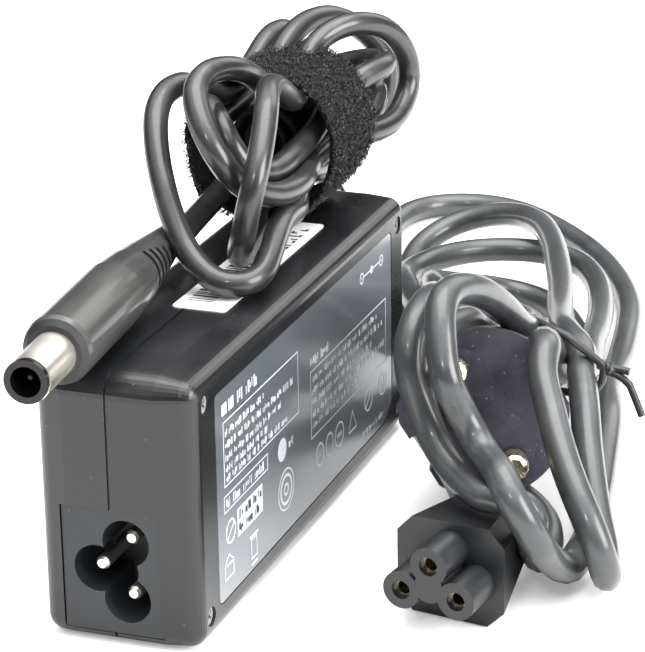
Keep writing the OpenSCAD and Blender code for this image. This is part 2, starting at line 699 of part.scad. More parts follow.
connector_spot = [46.8, -35];        // tip of the connector's nose, seen from above
connector_yaw = -8.6;                // turn of the connector about the vertical
nose_z = 7.6;                        // height of the live contacts' line
socket_d = inlet_pin_d + 0.1;
contact_d = socket_d + 1.2;
plug_spot = [43.6, 7, 23.4];           // middle of the mains plug's face
plug_turn = 17;                      // turn of the mains plug about the vertical
plug_lift = 18;                      // rise of its pins towards their tips
plug_roll = 57;                      // roll of its pins' line from level
plug_body_l = 36;
plug_rear = plug_spot + plug_body_l * [-cos(plug_lift) * sin(plug_turn),
    cos(plug_lift) * cos(plug_turn), -sin(plug_lift)];
sleeve_l = 9;                        // insulated length of the mains plug's pins

// Places a child with its +Y along the connector, from the nose towards the cord
module at_connector() {
    translate([connector_spot[0], connector_spot[1], 0]) rotate([0, 0, connector_yaw]) children();
}

module contact_spots() {
    for (p = [[-pin_pitch / 2, 0], [pin_pitch / 2, 0], [0, earth_offset]])
        translate([p[0], 0, nose_z + p[1]]) rotate([-90, 0, 0]) children();
}

module mains_connector() {
    chamfer = 3;
    w = connector_w / 2;
    h = connector_h;
    color("#1c1c1f") at_connector() difference() {
        union() {
            translate([0, nose_l, nose_z]) rotate([90, 0, 0]) linear_extrude(nose_l)
                rotate(-90) clover(nose_lobe_d);
            translate([0, nose_l + connector_l, 0]) rotate([90, 0, 0]) linear_extrude(connector_l)
                polygon([[-w + chamfer, 0], [w - chamfer, 0], [w, chamfer], [w, h - chamfer],
                    [w - chamfer, h], [-w + chamfer, h], [-w, h - chamfer], [-w, chamfer]]);
        }
        contact_spots() {
            translate([0, 0, -1]) cylinder(d = contact_d - 0.4, h = 4, $fn = 32);
            translate([0, 0, 1.5]) cylinder(d = contact_d, h = 14, $fn = 32);
        }
    }
}

module connector_boot() {
    color("#1c1c1f") at_connector()
        translate([0, nose_l + connector_l, nose_z])
            tube(boot_route, [4.9, 4.7, 4, mains_cord_d / 2 + 0.6], 16);
}

module connector_contacts() {
    color("#b9974a") at_connector() contact_spots() difference() {
        translate([0, 0, 1.5]) cylinder(d = contact_d, h = 14, $fn = 32);
        translate([0, 0, 1]) cylinder(d = socket_d, h = 13, $fn = 32);
    }
}

module mains_cord_start() {
    color("#3f4143") at_connector() translate([0, nose_l + connector_l, nose_z] + boot_route[3])
        tube(mains_start_route, [mains_cord_d / 2]);
}

module mains_cord_coil() {
    color("#3f4143") tube(coil_route, coil_radii, 10, true);
}

module mains_cord_end() {
    color("#3f4143") translate(plug_rear) rotate([0, 0, plug_turn]) rotate([-plug_lift, 0, 0])
        tube(mains_end_route, [mains_cord_d / 2]);
}

// Places a child with its +Y from the mains plug's face into its body, its pins' line along X
module at_mains_plug() {
    translate(plug_spot) rotate([0, 0, plug_turn]) rotate([-plug_lift, 0, 0])
        rotate([0, plug_roll, 0]) children();
}

module plug_face_outline(grow = 0) {
    intersection() {
        circle(d = plug_face_d + grow, $fn = 64);
        square([plug_face_d + 2, plug_flat_w + grow], center = true);
    }
}

// Raised pad round the pins, with pointed ends
module plug_pad() {
    w = 4.8;
    l = mains_pin_pitch / 2 + 4.4;
    rotate([-90, 0, 0]) translate([0, 0, -1.4]) linear_extrude(3)
        polygon([[-l, 0], [-l + 4, -w], [l - 4, -w], [l, 0], [l - 4, w], [-l + 4, w]]);
}

module mains_plug() {
    neck_r = mains_cord_d / 2 + 1.2;
    color("#202024") at_mains_plug() difference() {
        union() {
            plug_pad();
            rotate([-90, 0, 0]) linear_extrude(14) plug_face_outline();
            hull() {
                translate([0, 14, 0]) rotate([-90, 0, 0]) linear_extrude(0.1) plug_face_outline(-1);
                translate([0, 25, 0]) rotate([-90, 0, 0]) cylinder(r = 9, h = 1, $fn = 32);
            }
            translate([0, 25, 0]) rotate([-90, 0, 0]) rotate_extrude($fn = 40)
                polygon([[0, 0], [9, 0], [9, 1], [neck_r + 1, 4], [neck_r, plug_body_l - 25],
                    [0, plug_body_l - 25]]);
        }
        for (x = [-1, 1]) translate([x * mains_pin_pitch / 2, -3, 0]) rotate([-90, 0, 0])
            cylinder(d = mains_pin_d, h = 13, $fn = 40);
        for (z = [-1, 1]) translate([0, 6, z * plug_flat_w / 2]) cube([6.4, 14, 4], center = true);
    }
}

// Round pins with a bare end and a thinner shank for the sleeve
module mains_plug_pins() {
    r = mains_pin_d / 2;
    bare = mains_pin_l - sleeve_l;
    color("#cbb98a") at_mains_plug() for (x = [-1, 1]) translate([x * mains_pin_pitch / 2, 0, 0])
        rotate([-90, 0, 0]) rotate_extrude($fn = 40)
            polygon([[0, -mains_pin_l], [r - 1, -mains_pin_l], [r - 0.3, -mains_pin_l + 0.5],
                [r, -mains_pin_l + 1.6], [r, -mains_pin_l + bare], [r - 0.6, -mains_pin_l + bare],
                [r - 0.6, -1.4], [r, -1.4], [r, 10], [0, 10]]);
}

module mains_pin_sleeves() {
    color("#141416") at_mains_plug() for (x = [-1, 1])
        translate([x * mains_pin_pitch / 2, -sleeve_l, 0]) rotate([-90, 0, 0]) difference() {
            cylinder(d = mains_pin_d, h = sleeve_l - 1.4, $fn = 40);
            translate([0, 0, -1]) cylinder(d = mains_pin_d - 1.2, h = sleeve_l + 1, $fn = 40);
        }
}

module plug_earth_contacts() {
    color("#c7b489") at_mains_plug() for (z = [-1, 1])
        translate([0, 6, z * (plug_flat_w / 2 - 1.4)]) cube([6, 13, 1.2], center = true);
}

// A wire loop round both runs of the coil, with its ends twisted together and turned out
module twist_tie() {
    mid = (tie_low + tie_high) / 2;
    along = unit(tie_low - tie_high);
    across = unit(cross(along, [-0.27, 0.94, -0.12]));
    reach = norm(tie_low - tie_high) / 2;
    loop_r = 5.6 + tie_d / 2;
    knot = mid + (loop_r + tie_d / 2 + 0.15) * across;
    color("#1a1a1c") {
        tube([for (end = [1, -1], a = [-90 : 30 : 90])
            mid + end * (reach * along + loop_r * (cos(a) * along + sin(a) * across))],
            [tie_d / 2], 8, true);
        tube([knot, knot + 3 * across, knot + 6 * across + [1, -1, 0], knot + 9 * across + [3, -3, -2]],
            [tie_d * 0.7, tie_d * 0.7, tie_d * 0.7, tie_d * 0.4], 9);
    }
}

label_side_shell();
plain_side_shell();
shell_screws();
rating_label();
barcode_sticker();
inlet_body();
inlet_line_pins();
inlet_earth_pin();
inlet_pin_sleeves();
circuit_board();
input_wires();
fuse();
filter_capacitor();
line_choke();
bridge_rectifier();
bulk_capacitor();
primary_heat_sink();
switching_transistor();
transformer_core();
transformer_winding();
secondary_heat_sink();
output_rectifier();
output_capacitors();
feedback_coupler();
insulation_sheet();
output_wires();
dc_gland();
dc_cord_start();
dc_cord_hank();
dc_cord_tail();
dc_plug_moulding();
dc_plug_barrel();
dc_plug_insulator();
dc_plug_centre_pin();
cable_strap();
mains_connector();
connector_boot();
connector_contacts();
mains_cord_start();
mains_cord_coil();
mains_cord_end();
mains_plug();
mains_plug_pins();
mains_pin_sleeves();
plug_earth_contacts();
twist_tie();
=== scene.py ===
"""Laptop power adapter: the slim black brick with its strapped output lead, and the coiled mains lead beside it."""
import math
import random

import bpy
import numpy as np
from mathutils import Matrix, Vector


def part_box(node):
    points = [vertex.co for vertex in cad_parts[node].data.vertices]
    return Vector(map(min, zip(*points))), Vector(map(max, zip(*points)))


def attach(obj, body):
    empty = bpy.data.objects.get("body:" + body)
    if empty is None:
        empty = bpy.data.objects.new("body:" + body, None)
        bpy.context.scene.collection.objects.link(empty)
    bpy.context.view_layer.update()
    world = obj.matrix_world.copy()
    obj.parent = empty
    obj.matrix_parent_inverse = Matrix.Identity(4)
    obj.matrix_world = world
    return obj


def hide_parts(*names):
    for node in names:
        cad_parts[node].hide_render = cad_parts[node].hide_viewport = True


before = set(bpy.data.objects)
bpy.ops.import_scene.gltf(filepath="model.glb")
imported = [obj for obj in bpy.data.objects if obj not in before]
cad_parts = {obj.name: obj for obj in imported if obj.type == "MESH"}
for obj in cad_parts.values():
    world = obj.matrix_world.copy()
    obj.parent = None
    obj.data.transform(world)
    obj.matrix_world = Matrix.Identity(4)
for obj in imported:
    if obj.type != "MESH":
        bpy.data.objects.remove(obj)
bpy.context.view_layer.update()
random.seed(7)
spread = np.random.default_rng(7)

MM = 0.001
# the outside of the closed case, in mm
CASE = (-14, -53.8, 0), (14, 53.8, 47.4)
# cord thicknesses in mm
OUTPUT_THICK, MAINS_THICK = 4.5, 5.4
# the way that the camera looks: crossing strands part mostly along it, so their courses stay put
SIGHT = np.array((-0.324, 0.881, -0.344))


# ---- nodes -----------------------------------------------------------------
def lin(code):
    """An sRGB hex colour as the linear one that a socket takes."""
    parts = [int(code[i:i + 2], 16) / 255 for i in (1, 3, 5)]
    return tuple(v / 12.92 if v <= 0.04045 else ((v + 0.055) / 1.055) ** 2.4 for v in parts) + (1.0,)


def add(tree, kind, sockets=None, stops=None, **settings):
    """One node with its settings, its socket values and its links."""
    node = tree.nodes.new("ShaderNode" + kind)
    for key, value in settings.items():
        setattr(node, key, value)
    for key, value in (sockets or {}).items():
        if isinstance(value, bpy.types.NodeSocket):
            tree.links.new(value, node.inputs[key])
        else:
            node.inputs[key].default_value = value
    if stops:
        ramp = node.color_ramp
        while len(ramp.elements) < len(stops):
            ramp.elements.new(0.5)
        for element, (at, colour) in zip(ramp.elements, stops):
            element.position = at
            element.color = lin(colour)
    return node


def finish(name, dark, light, rough, grain, depth, metallic=0.0, ior=1.5, coat=0.0, drift=16.0, rough_drift=0.06,
           pattern=None):
    """A surface between two tones, with a grain of so many mm, so many mm deep, and a slow drift of tone and gloss
    over so many mm. pattern draws what else the finish shows, and gives back the tone and the height of the bump."""
    mat = bpy.data.materials.new(name)
    mat.use_nodes = True
    tree = mat.node_tree
    tree.nodes.clear()
    place = add(tree, "TexCoord").outputs["Object"]
    slow = add(tree, "TexNoise", {"Vector": place, "Scale": 1000 / drift, "Detail": 4.0}).outputs["Fac"]
    height = add(tree, "TexNoise", {"Vector": place, "Scale": 1000 / grain, "Detail": 2.0}).outputs["Fac"]
    tone = add(tree, "ValToRGB", {"Fac": slow}, stops=[(0.32, dark), (0.68, light)]).outputs["Color"]
    gloss = add(tree, "MapRange", {"Value": slow, "From Min": 0.3, "From Max": 0.7, "To Min": rough - rough_drift,
                                   "To Max": rough + rough_drift}).outputs["Result"]
    if pattern:
        tone, height = pattern(tree, place, tone, height)
    bump = add(tree, "Bump", {"Height": height, "Strength": 1.0, "Distance": depth * MM}).outputs["Normal"]
    skin = add(tree, "BsdfPrincipled", {"Base Color": tone, "Roughness": gloss, "Normal": bump, "Metallic": metallic,
                                        "IOR": ior, "Coat Weight": coat, "Coat Roughness": 0.12})
    add(tree, "OutputMaterial", {"Surface": skin.outputs["BSDF"]})
    return mat


# Each pattern lays colours over the tone where a factor is one.
def dust(tree, place, tone, fine):
    """Fine pale dust specks every few mm, as a handled black moulding has, drawn coarse enough to show."""
    cells = add(tree, "TexVoronoi", {"Vector": place, "Scale": 1000 / 3.4, "Randomness": 1.0}).outputs["Distance"]
    speck = add(tree, "MapRange", {"Value": cells, "From Min": 0.03, "From Max": 0.075, "To Min": 0.2,
                                   "To Max": 0.0}).outputs["Result"]
    return add(tree, "Mix", {0: speck, 6: tone, 7: lin("#8C8F92")}, data_type="RGBA").outputs[2], fine


def brushed(tree, place, tone, fine):
    """Fine lines along the length of a rolled or drawn metal."""
    along = add(tree, "Mapping", {"Vector": place, "Scale": (9.0, 0.4, 9.0)}).outputs["Vector"]
    lines = add(tree, "TexNoise", {"Vector": along, "Scale": 1000 / 2.5, "Detail": 3.0}).outputs["Fac"]
    return tone, lines


def tracks(tree, place, tone, fine):
    """Copper tracks under green solder resist: paler bands a millimetre and a half wide."""
    flat = add(tree, "Mapping", {"Vector": place, "Rotation": (0.0, 0.0, 0.4)}).outputs["Vector"]
    bands = add(tree, "TexBrick", {"Vector": flat, "Scale": 1000 / 7.0, "Mortar Size": 0.06,
                                   "Color1": (0, 0, 0, 1), "Color2": (0.25, 0.25, 0.25, 1),
                                   "Mortar": (1, 1, 1, 1)}).outputs["Color"]
    return add(tree, "Mix", {0: bands, 6: tone, 7: lin("#3F9A55")}, data_type="RGBA").outputs[2], fine


def turns(tree, place, tone, fine):
    """Turns of enamelled wire or tape side by side, a little under a millimetre each, with painted shade in the grooves
    between them.
    """
    wave = add(tree, "TexWave", {"Vector": place, "Scale": 1000 / 5.2, "Distortion": 0.6},
               bands_direction="Y").outputs["Fac"]
    painted_groove_shade = add(tree, "MapRange", {"Value": wave, "From Min": 0.0, "From Max": 0.3, "To Min": 0.7,
                                    "To Max": 0.0}).outputs["Result"]
    return add(tree, "Mix", {0: painted_groove_shade, 6: tone, 7: lin("#3A1F0C")}, data_type="RGBA").outputs[2], wave


def mottled(tree, place, tone, fine):
    """The mottled bloom, 5 mm across, and the fine pale pits of a PVC plug that was moulded over its inserts."""
    cloud = add(tree, "TexNoise", {"Vector": place, "Scale": 1000 / 5.0, "Detail": 6.0,
                                   "Roughness": 0.7}).outputs["Fac"]
    bloom = add(tree, "MapRange", {"Value": cloud, "From Min": 0.48, "From Max": 0.72, "To Min": 0.0,
                                   "To Max": 0.35}).outputs["Result"]
    cells = add(tree, "TexVoronoi", {"Vector": place, "Scale": 1000 / 1.5, "Randomness": 1.0}).outputs["Distance"]
    speck = add(tree, "MapRange", {"Value": cells, "From Min": 0.04, "From Max": 0.13, "To Min": 0.45,
                                   "To Max": 0.0}).outputs["Result"]
    cloudy = add(tree, "Mix", {0: bloom, 6: tone, 7: lin("#56535F")}, data_type="RGBA").outputs[2]
    return add(tree, "Mix", {0: speck, 6: cloudy, 7: lin("#B4B2BC")}, data_type="RGBA").outputs[2], fine


def pile(tree, place, tone, fine):
    """Nylon hook-and-loop pile: dark, matted in clumps, with paler loop tips painted on as highlights."""
    tips = add(tree, "TexNoise", {"Vector": place, "Scale": 1000 / 0.9, "Detail": 3.0, "Roughness": 0.8}).outputs["Fac"]
    lit = add(tree, "MapRange", {"Value": tips, "From Min": 0.55, "From Max": 0.72, "To Min": 0.0,
                                 "To Max": 0.3}).outputs["Result"]
    return add(tree, "Mix", {0: lit, 6: tone, 7: lin("#3A3B3D")}, data_type="RGBA").outputs[2], tips


def painted_glints(tree, place, tone, fine):
    """Single loop tips of the pile, painted pale as glints of light."""
    tips = add(tree, "TexNoise", {"Vector": place, "Scale": 1000 / 0.7, "Detail": 1.0}).outputs["Fac"]
    lit = add(tree, "MapRange", {"Value": tips, "From Min": 0.6, "From Max": 0.68, "To Min": 0.0,
                                 "To Max": 0.6}).outputs["Result"]
    return add(tree, "Mix", {0: lit, 6: tone, 7: lin("#6C6D70")}, data_type="RGBA").outputs[2], fine


def cord_skin(tree, place, tone, fine):
    """Extruded PVC: faint draw marks and scuffs 7 mm long, which follow no direction at this scale."""
    scuff = add(tree, "TexNoise", {"Vector": place, "Scale": 1000 / 7.0, "Detail": 5.0,
                                   "Roughness": 0.65}).outputs["Fac"]
    worn = add(tree, "MapRange", {"Value": scuff, "From Min": 0.55, "From Max": 0.8, "To Min": 0.0,
                                  "To Max": 0.3}).outputs["Result"]
    return add(tree, "Mix", {0: worn, 6: tone, 7: lin("#6A6C6F")}, data_type="RGBA").outputs[2], scuff


# ---- finishes, each named for its real material and for any painted shade or highlight it carries: dark and light tone, roughness, grain and its depth in mm ---
finishes = {
    # spark-eroded ABS and polycarbonate: a fine dull grain that greys towards the light
    "case_label": finish("abs_pc_spark_eroded_label_side", "#0B0C0E", "#111214", 0.3, 0.7, 0.004, coat=0.1,
                         pattern=dust),
    "case_plain": finish("abs_pc_spark_eroded_plain_side", "#111316", "#17181B", 0.32, 0.7, 0.004, coat=0.1,
                         pattern=dust),
    # zinc-plated steel: pale and dull at the bottom of its deep hole
    "dark_steel": finish("zinc_plated_screw_steel", "#8C8D90", "#A6A7A9", 0.4, 0.4, 0.01, metallic=0.4),
    # satin metallised polyester film: a grey sheen that lifts the light of what it faces
    "label_film": finish("metallised_polyester_film", "#5E6369", "#686D73", 0.34, 0.5, 0.002, metallic=0.35, coat=1.0,
                         drift=60.0, rough_drift=0.03),
    # coated label paper: white, faintly fibrous
    "sticker_paper": finish("coated_label_paper", "#E9EAEA", "#F4F5F5", 0.55, 0.3, 0.008),
    # moulded nylon: near-black, a shade duller than the case round it
    "inlet_plastic": finish("nylon_inlet_moulding", "#1E2023", "#272A2D", 0.4, 0.6, 0.01, pattern=dust),
    # drawn brass, a little tarnished
    "pin_brass": finish("drawn_brass", "#CFC09A", "#EADFC2", 0.24, 0.5, 0.006, metallic=1.0, pattern=brushed),
    # bright nickel plate over brass, warm where the plate is thin
    "pin_nickel": finish("bright_nickel_plate", "#F2EADB", "#FBF6EA", 0.34, 0.5, 0.004, metallic=1.0, pattern=brushed),
    # the same plate deep in the barrel, painted dull brown as the shade of its bore
    "pin_painted_bore_shade": finish("nickel_pin_painted_bore_shade", "#2E2A25", "#3B362F", 0.45, 0.5, 0.006, metallic=0.8),
    # polished nylon: black with a small sharp glint on its rim
    "sleeve_black": finish("nylon_pin_sleeve", "#0D0B0B", "#151313", 0.2, 0.5, 0.004, ior=1.42),
    # glass epoxy under solder resist: glassy green with the tracks showing through
    "board_green": finish("glass_epoxy_solder_resist", "#155A2E", "#1E6B38", 0.3, 0.8, 0.01, coat=0.3, pattern=tracks),
    # extruded PVC insulation: soft satin
    "wire_brown": finish("pvc_wire_brown", "#5B3216", "#6E3F1E", 0.35, 0.8, 0.01),
    "wire_black": finish("pvc_wire_black", "#1A1B1D", "#26272A", 0.35, 0.8, 0.01),
    # glazed steatite: cream with a glassy skin
    "fuse_ceramic": finish("glazed_steatite", "#DAD5C6", "#EAE6DA", 0.25, 0.8, 0.01, coat=0.3),
    # moulded polypropylene box: flat mustard
    "film_capacitor": finish("epoxy_filled_polypropylene_box", "#B8A33A", "#CDB848", 0.4, 0.6, 0.012),
    # enamelled copper: lacquered brown turns
    "choke_copper": finish("enamelled_copper_winding", "#8F4A1D", "#B9692F", 0.3, 0.8, 0.08, metallic=0.7,
                           pattern=turns),
    # transfer-moulded epoxy: matt black, finely gritty
    "package_black": finish("transfer_moulded_epoxy", "#1B1C1E", "#252629", 0.5, 0.4, 0.012),
    # dipped epoxy: glossy blue, faintly lumpy
    "capacitor_blue": finish("disc_capacitor_epoxy_dip", "#2A5F9E", "#3570B2", 0.3, 0.9, 0.03, coat=0.3),
    # rolled aluminium: fine lines the way that it was rolled
    "sink_aluminium": finish("rolled_aluminium_sheet", "#9B9DA0", "#B4B6B8", 0.36, 0.5, 0.01, metallic=1.0,
                             pattern=brushed),
    # sintered ferrite: dull dark grey, a little sugary
    "ferrite_grey": finish("sintered_ferrite", "#3D3C3D", "#4B4A4B", 0.6, 0.3, 0.02, metallic=0.2),
    # wound polyester tape: yellow, shiny, in turns
    "winding_tape": finish("polyester_winding_tape", "#C59A2B", "#D9AE3B", 0.3, 0.9, 0.05, coat=0.2, pattern=turns),
    # shrunk PVC sleeve: smooth black
    "capacitor_black": finish("heat_shrunk_pvc_sleeve", "#17181B", "#222327", 0.28, 0.8, 0.01),
    # pressed aramid paper: cream, dry and fibrous
    "sheet_cream": finish("aramid_insulation_paper", "#D6CFAE", "#E4DDC0", 0.55, 0.5, 0.02),
    # moulded PVC: soft dark grey
    "gland_rubber": finish("pvc_gland_moulding", "#28292C", "#35373A", 0.4, 0.7, 0.015, pattern=dust),
    # soft extruded PVC, handled smooth: broad pale sheen over near-black
    "dc_cord": finish("soft_pvc_output_cord", "#1C1C1E", "#262628", 0.38, 1.2, 0.005, coat=0.4, pattern=cord_skin),
    # satin thermoplastic rubber, warm grey where it is handled
    "dc_plug_rubber": finish("tpe_overmould", "#2A2A2B", "#383734", 0.42, 0.6, 0.006, coat=0.5, pattern=dust),
    # the same rubber on the walls between the strain relief's ribs, painted near-black as the shade deep in its slots
    "dc_plug_slots_painted_shade": finish("tpe_overmould_painted_slot_shade", "#050506", "#0A0A0B", 0.8, 0.5, 0.01),
    # the same rubber on its moulded front face, a little duller, its darker tone painted shade
    "dc_plug_nose_painted_shade": finish("tpe_overmould_nose_painted_shade", "#101011", "#161617", 0.5, 0.5, 0.01),
    # woven nylon with its pile brushed up: it swallows the light, but for painted highlights on its loop tips
    "strap_fabric": finish("nylon_loop_pile", "#040405", "#0A0A0B", 0.9, 0.5, 0.25, ior=1.3, drift=5.0, pattern=pile),
    # the strap's hook side: flat black tape, which on the rolled inner end also serves as painted shade in the ring's
    # hollow
    "strap_hooks_and_painted_shade": finish("nylon_hook_tape_and_painted_shade", "#020203", "#060607", 0.85, 0.8, 0.06, ior=1.3, drift=4.0),
    # single nylon threads: black with a painted glint here and there
    "strap_threads": finish("nylon_pile_thread", "#040405", "#0E0E10", 0.5, 0.5, 0.005, drift=1.6, pattern=painted_glints),
    # moulded PVC, black and dusty
    "connector_black": finish("pvc_connector_moulding", "#151618", "#1E2022", 0.38, 0.7, 0.015, pattern=dust),
    # harder extruded PVC, a step lighter than the output cord, with a duller sheen
    "mains_cord": finish("round_pvc_mains_cord", "#2F3132", "#3E4041", 0.38, 1.2, 0.006, coat=0.35, pattern=cord_skin),
    # moulded PVC with a violet cast, mottled where it cooled over its inserts
    "plug_plastic": finish("pvc_plug_moulding", "#25242C", "#34313D", 0.46, 1.0, 0.05, pattern=mottled),
    # paper and plastic over the tie's wire: dull, faintly creased
    "tie_black": finish("paper_plastic_twist_tie", "#232425", "#303132", 0.42, 0.5, 0.02),
    # screen ink on the film, and thermal print on the paper: flat and even
    "ink_white": finish("screen_ink_white", "#B9BCC0", "#C9CCCF", 0.5, 0.4, 0.004),
    "ink_black": finish("thermal_print_black", "#26272B", "#34363C", 0.5, 0.4, 0.003),
}

# ---- CAD nodes take the finish of their slot --------------------------------
# the centre pin takes the painted shade of the bore it stands in
finish_of = {"inlet_line_pins": "pin_nickel", "plug_earth_contacts": "pin_nickel",
             "dc_plug_centre_pin": "pin_painted_bore_shade"}
for name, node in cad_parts.items():
    slot = node.data.materials[0].name.split(".")[0]
    node.data.materials.clear()
    node.data.materials.append(finishes[finish_of.get(name, slot)])


# ---- cords -------------------------------------------------------------------
def through(stations):
    """A smooth line in mm through the stations, eased so that close stations don't overshoot."""
    p = np.array(stations, float)
    fine = []
    for i in range(len(p) - 1):
        a, b, c, d = p[max(i - 1, 0)], p[i], p[i + 1], p[min(i + 2, len(p) - 1)]
        h0, h1, h2 = (max(np.linalg.norm(v) ** 0.5, 1e-3) for v in (b - a, c - b, d - c))
        m1 = (c - b) if i == 0 else h1 * ((b - a) / h0 - (c - a) / (h0 + h1) + (c - b) / h1)
        m2 = (c - b) if i == len(p) - 2 else h1 * ((c - b) / h1 - (d - b) / (h1 + h2) + (d - c) / h2)
        for t in np.linspace(0, 1, 24, endpoint=False):
            fine.append((2 * t**3 - 3 * t**2 + 1) * b + (t**3 - 2 * t**2 + t) * m1
                        + (-2 * t**3 + 3 * t**2) * c + (t**3 - t**2) * m2)
    return np.array(fine + [p[-1]])


def even(line, step):
    """The same line in even steps of about so many mm."""
    run = np.concatenate([[0], np.cumsum(np.linalg.norm(np.diff(line, axis=0), axis=1))])
    at = np.linspace(0, run[-1], int(round(run[-1] / step)) + 1)
    return np.stack([np.interp(at, run, line[:, k]) for k in range(3)], 1)


def off_box(line, low, high, clear):
    """How far each point has to go to stand clear of a box: out by its nearest face where it is inside."""
    out = line - np.clip(line, low, high)
    far = np.linalg.norm(out, axis=1)
    inside = far < 1e-6
    lift = np.where((far < clear)[:, None] & ~inside[:, None],
                    out / (far[:, None] + 1e-9) * (clear - far)[:, None], 0)
    faces = np.concatenate([line - low, high - line], 1) + clear
    pick = faces.argmin(1)
    for k in range(6):
        rows = inside & (pick == k)
        lift[rows, k % 3] += (-1 if k < 3 else 1) * faces[rows, k]
    return lift


def off_rod(line, start, end, clear):
    """The same for a rod with round ends."""
    t = np.clip(((line - start) @ (end - start)) / ((end - start) @ (end - start)), 0, 1)
    out = line - (start + t[:, None] * (end - start))
    far = np.linalg.norm(out, axis=1)
    return np.where((far < clear)[:, None], out / (far[:, None] + 1e-9) * (clear - far)[:, None], 0)


def off_drum(line, rear, face, clear, ends=MAINS_THICK / 2):
    """The same for a drum with flat ends: out by its side or by an end, whichever is nearest."""
    reach = np.linalg.norm(face - rear)
    along = (face - rear) / reach
    t = (line - rear) @ along
    out = line - rear - t[:, None] * along
    far = np.linalg.norm(out, axis=1)
    side, back, front = clear - far, t + ends, reach + ends - t
    inside = (side > 0) & (back > 0) & (front > 0)
    lift = np.where((inside & (side <= np.minimum(back, front)))[:, None],
                    out / (far[:, None] + 1e-9) * side[:, None], 0)
    lift += np.where((inside & (front < np.minimum(back, side)))[:, None], front[:, None] * along, 0)
    lift -= np.where((inside & (back < np.minimum(front, side)))[:, None], back[:, None] * along, 0)
    return lift


def settle(stations, thick, solids, rounds):
    """A cord's centreline in mm: an even, smoothed line through the stations, whose strands are slid off each other,
    off the solids and up onto the floor, in so many rounds."""
    line = even(through(stations), 2.0)
    goal = line.copy()
    index = np.arange(len(line))
    near = np.abs(index[:, None] - index[None]) < 1.7 * thick / 2.0 + 3
    # both ends stay where they come out; the weights below are those at which the strands part without shaking
    hold = np.clip(np.minimum(index, len(line) - 1 - index) / 5.0 - 0.6, 0, 1)[:, None]
    for step in range(rounds):
        gap = line[:, None] - line[None]
        apart = np.linalg.norm(gap, axis=2)
        apart[near] = 99
        push = np.clip(thick * 1.005 - apart, 0, None)
        gap += 1.6 * (gap @ SIGHT)[..., None] * SIGHT
        share = gap / (np.linalg.norm(gap, axis=2)[..., None] + 1e-6) * push[..., None]
        touching = np.maximum((push > 0).sum(1), 1)[:, None]
        move = 0.9 * share.sum(1) / touching ** 0.7
        for off, start, end, clear in solids:
            move += off(line, np.array(start, float), np.array(end, float), clear)
        bend, stiff = np.zeros_like(line), np.zeros_like(line)
        bend[1:-1] = (line[:-2] + line[2:]) / 2 - line[1:-1]
        stiff[1:-1] = bend[1:-1] - (bend[:-2] + bend[2:]) / 2
        fade = 1.0 if step < rounds * 0.6 else 0.25
        line = line + hold * (move + fade * (0.3 * bend + 0.25 * stiff) + fade * 0.05 * (goal - line))
        line[:, 2] = np.where(hold[:, 0] > 0, np.maximum(line[:, 2], thick / 2), line[:, 2])
    return even(line, 1.6)


def put(name, data):
    """A new object of the scene."""
    obj = bpy.data.objects.new(name, data)
    bpy.context.scene.collection.objects.link(obj)
    return obj


def lead(name, line, thick, skin):
    """A round cord as one curve with closed ends."""
    curve = bpy.data.curves.new(name, "CURVE")
    curve.dimensions = "3D"
    curve.bevel_depth = thick / 2 * MM
    curve.bevel_resolution = 4
    curve.use_fill_caps = True
    run = curve.splines.new("POLY")
    run.points.add(len(line) - 1)
    run.points.foreach_set("co", np.concatenate([line * MM, np.ones((len(line), 1))], 1).ravel())
    run.use_smooth = True
    curve.materials.append(skin)
    return put(name, curve)


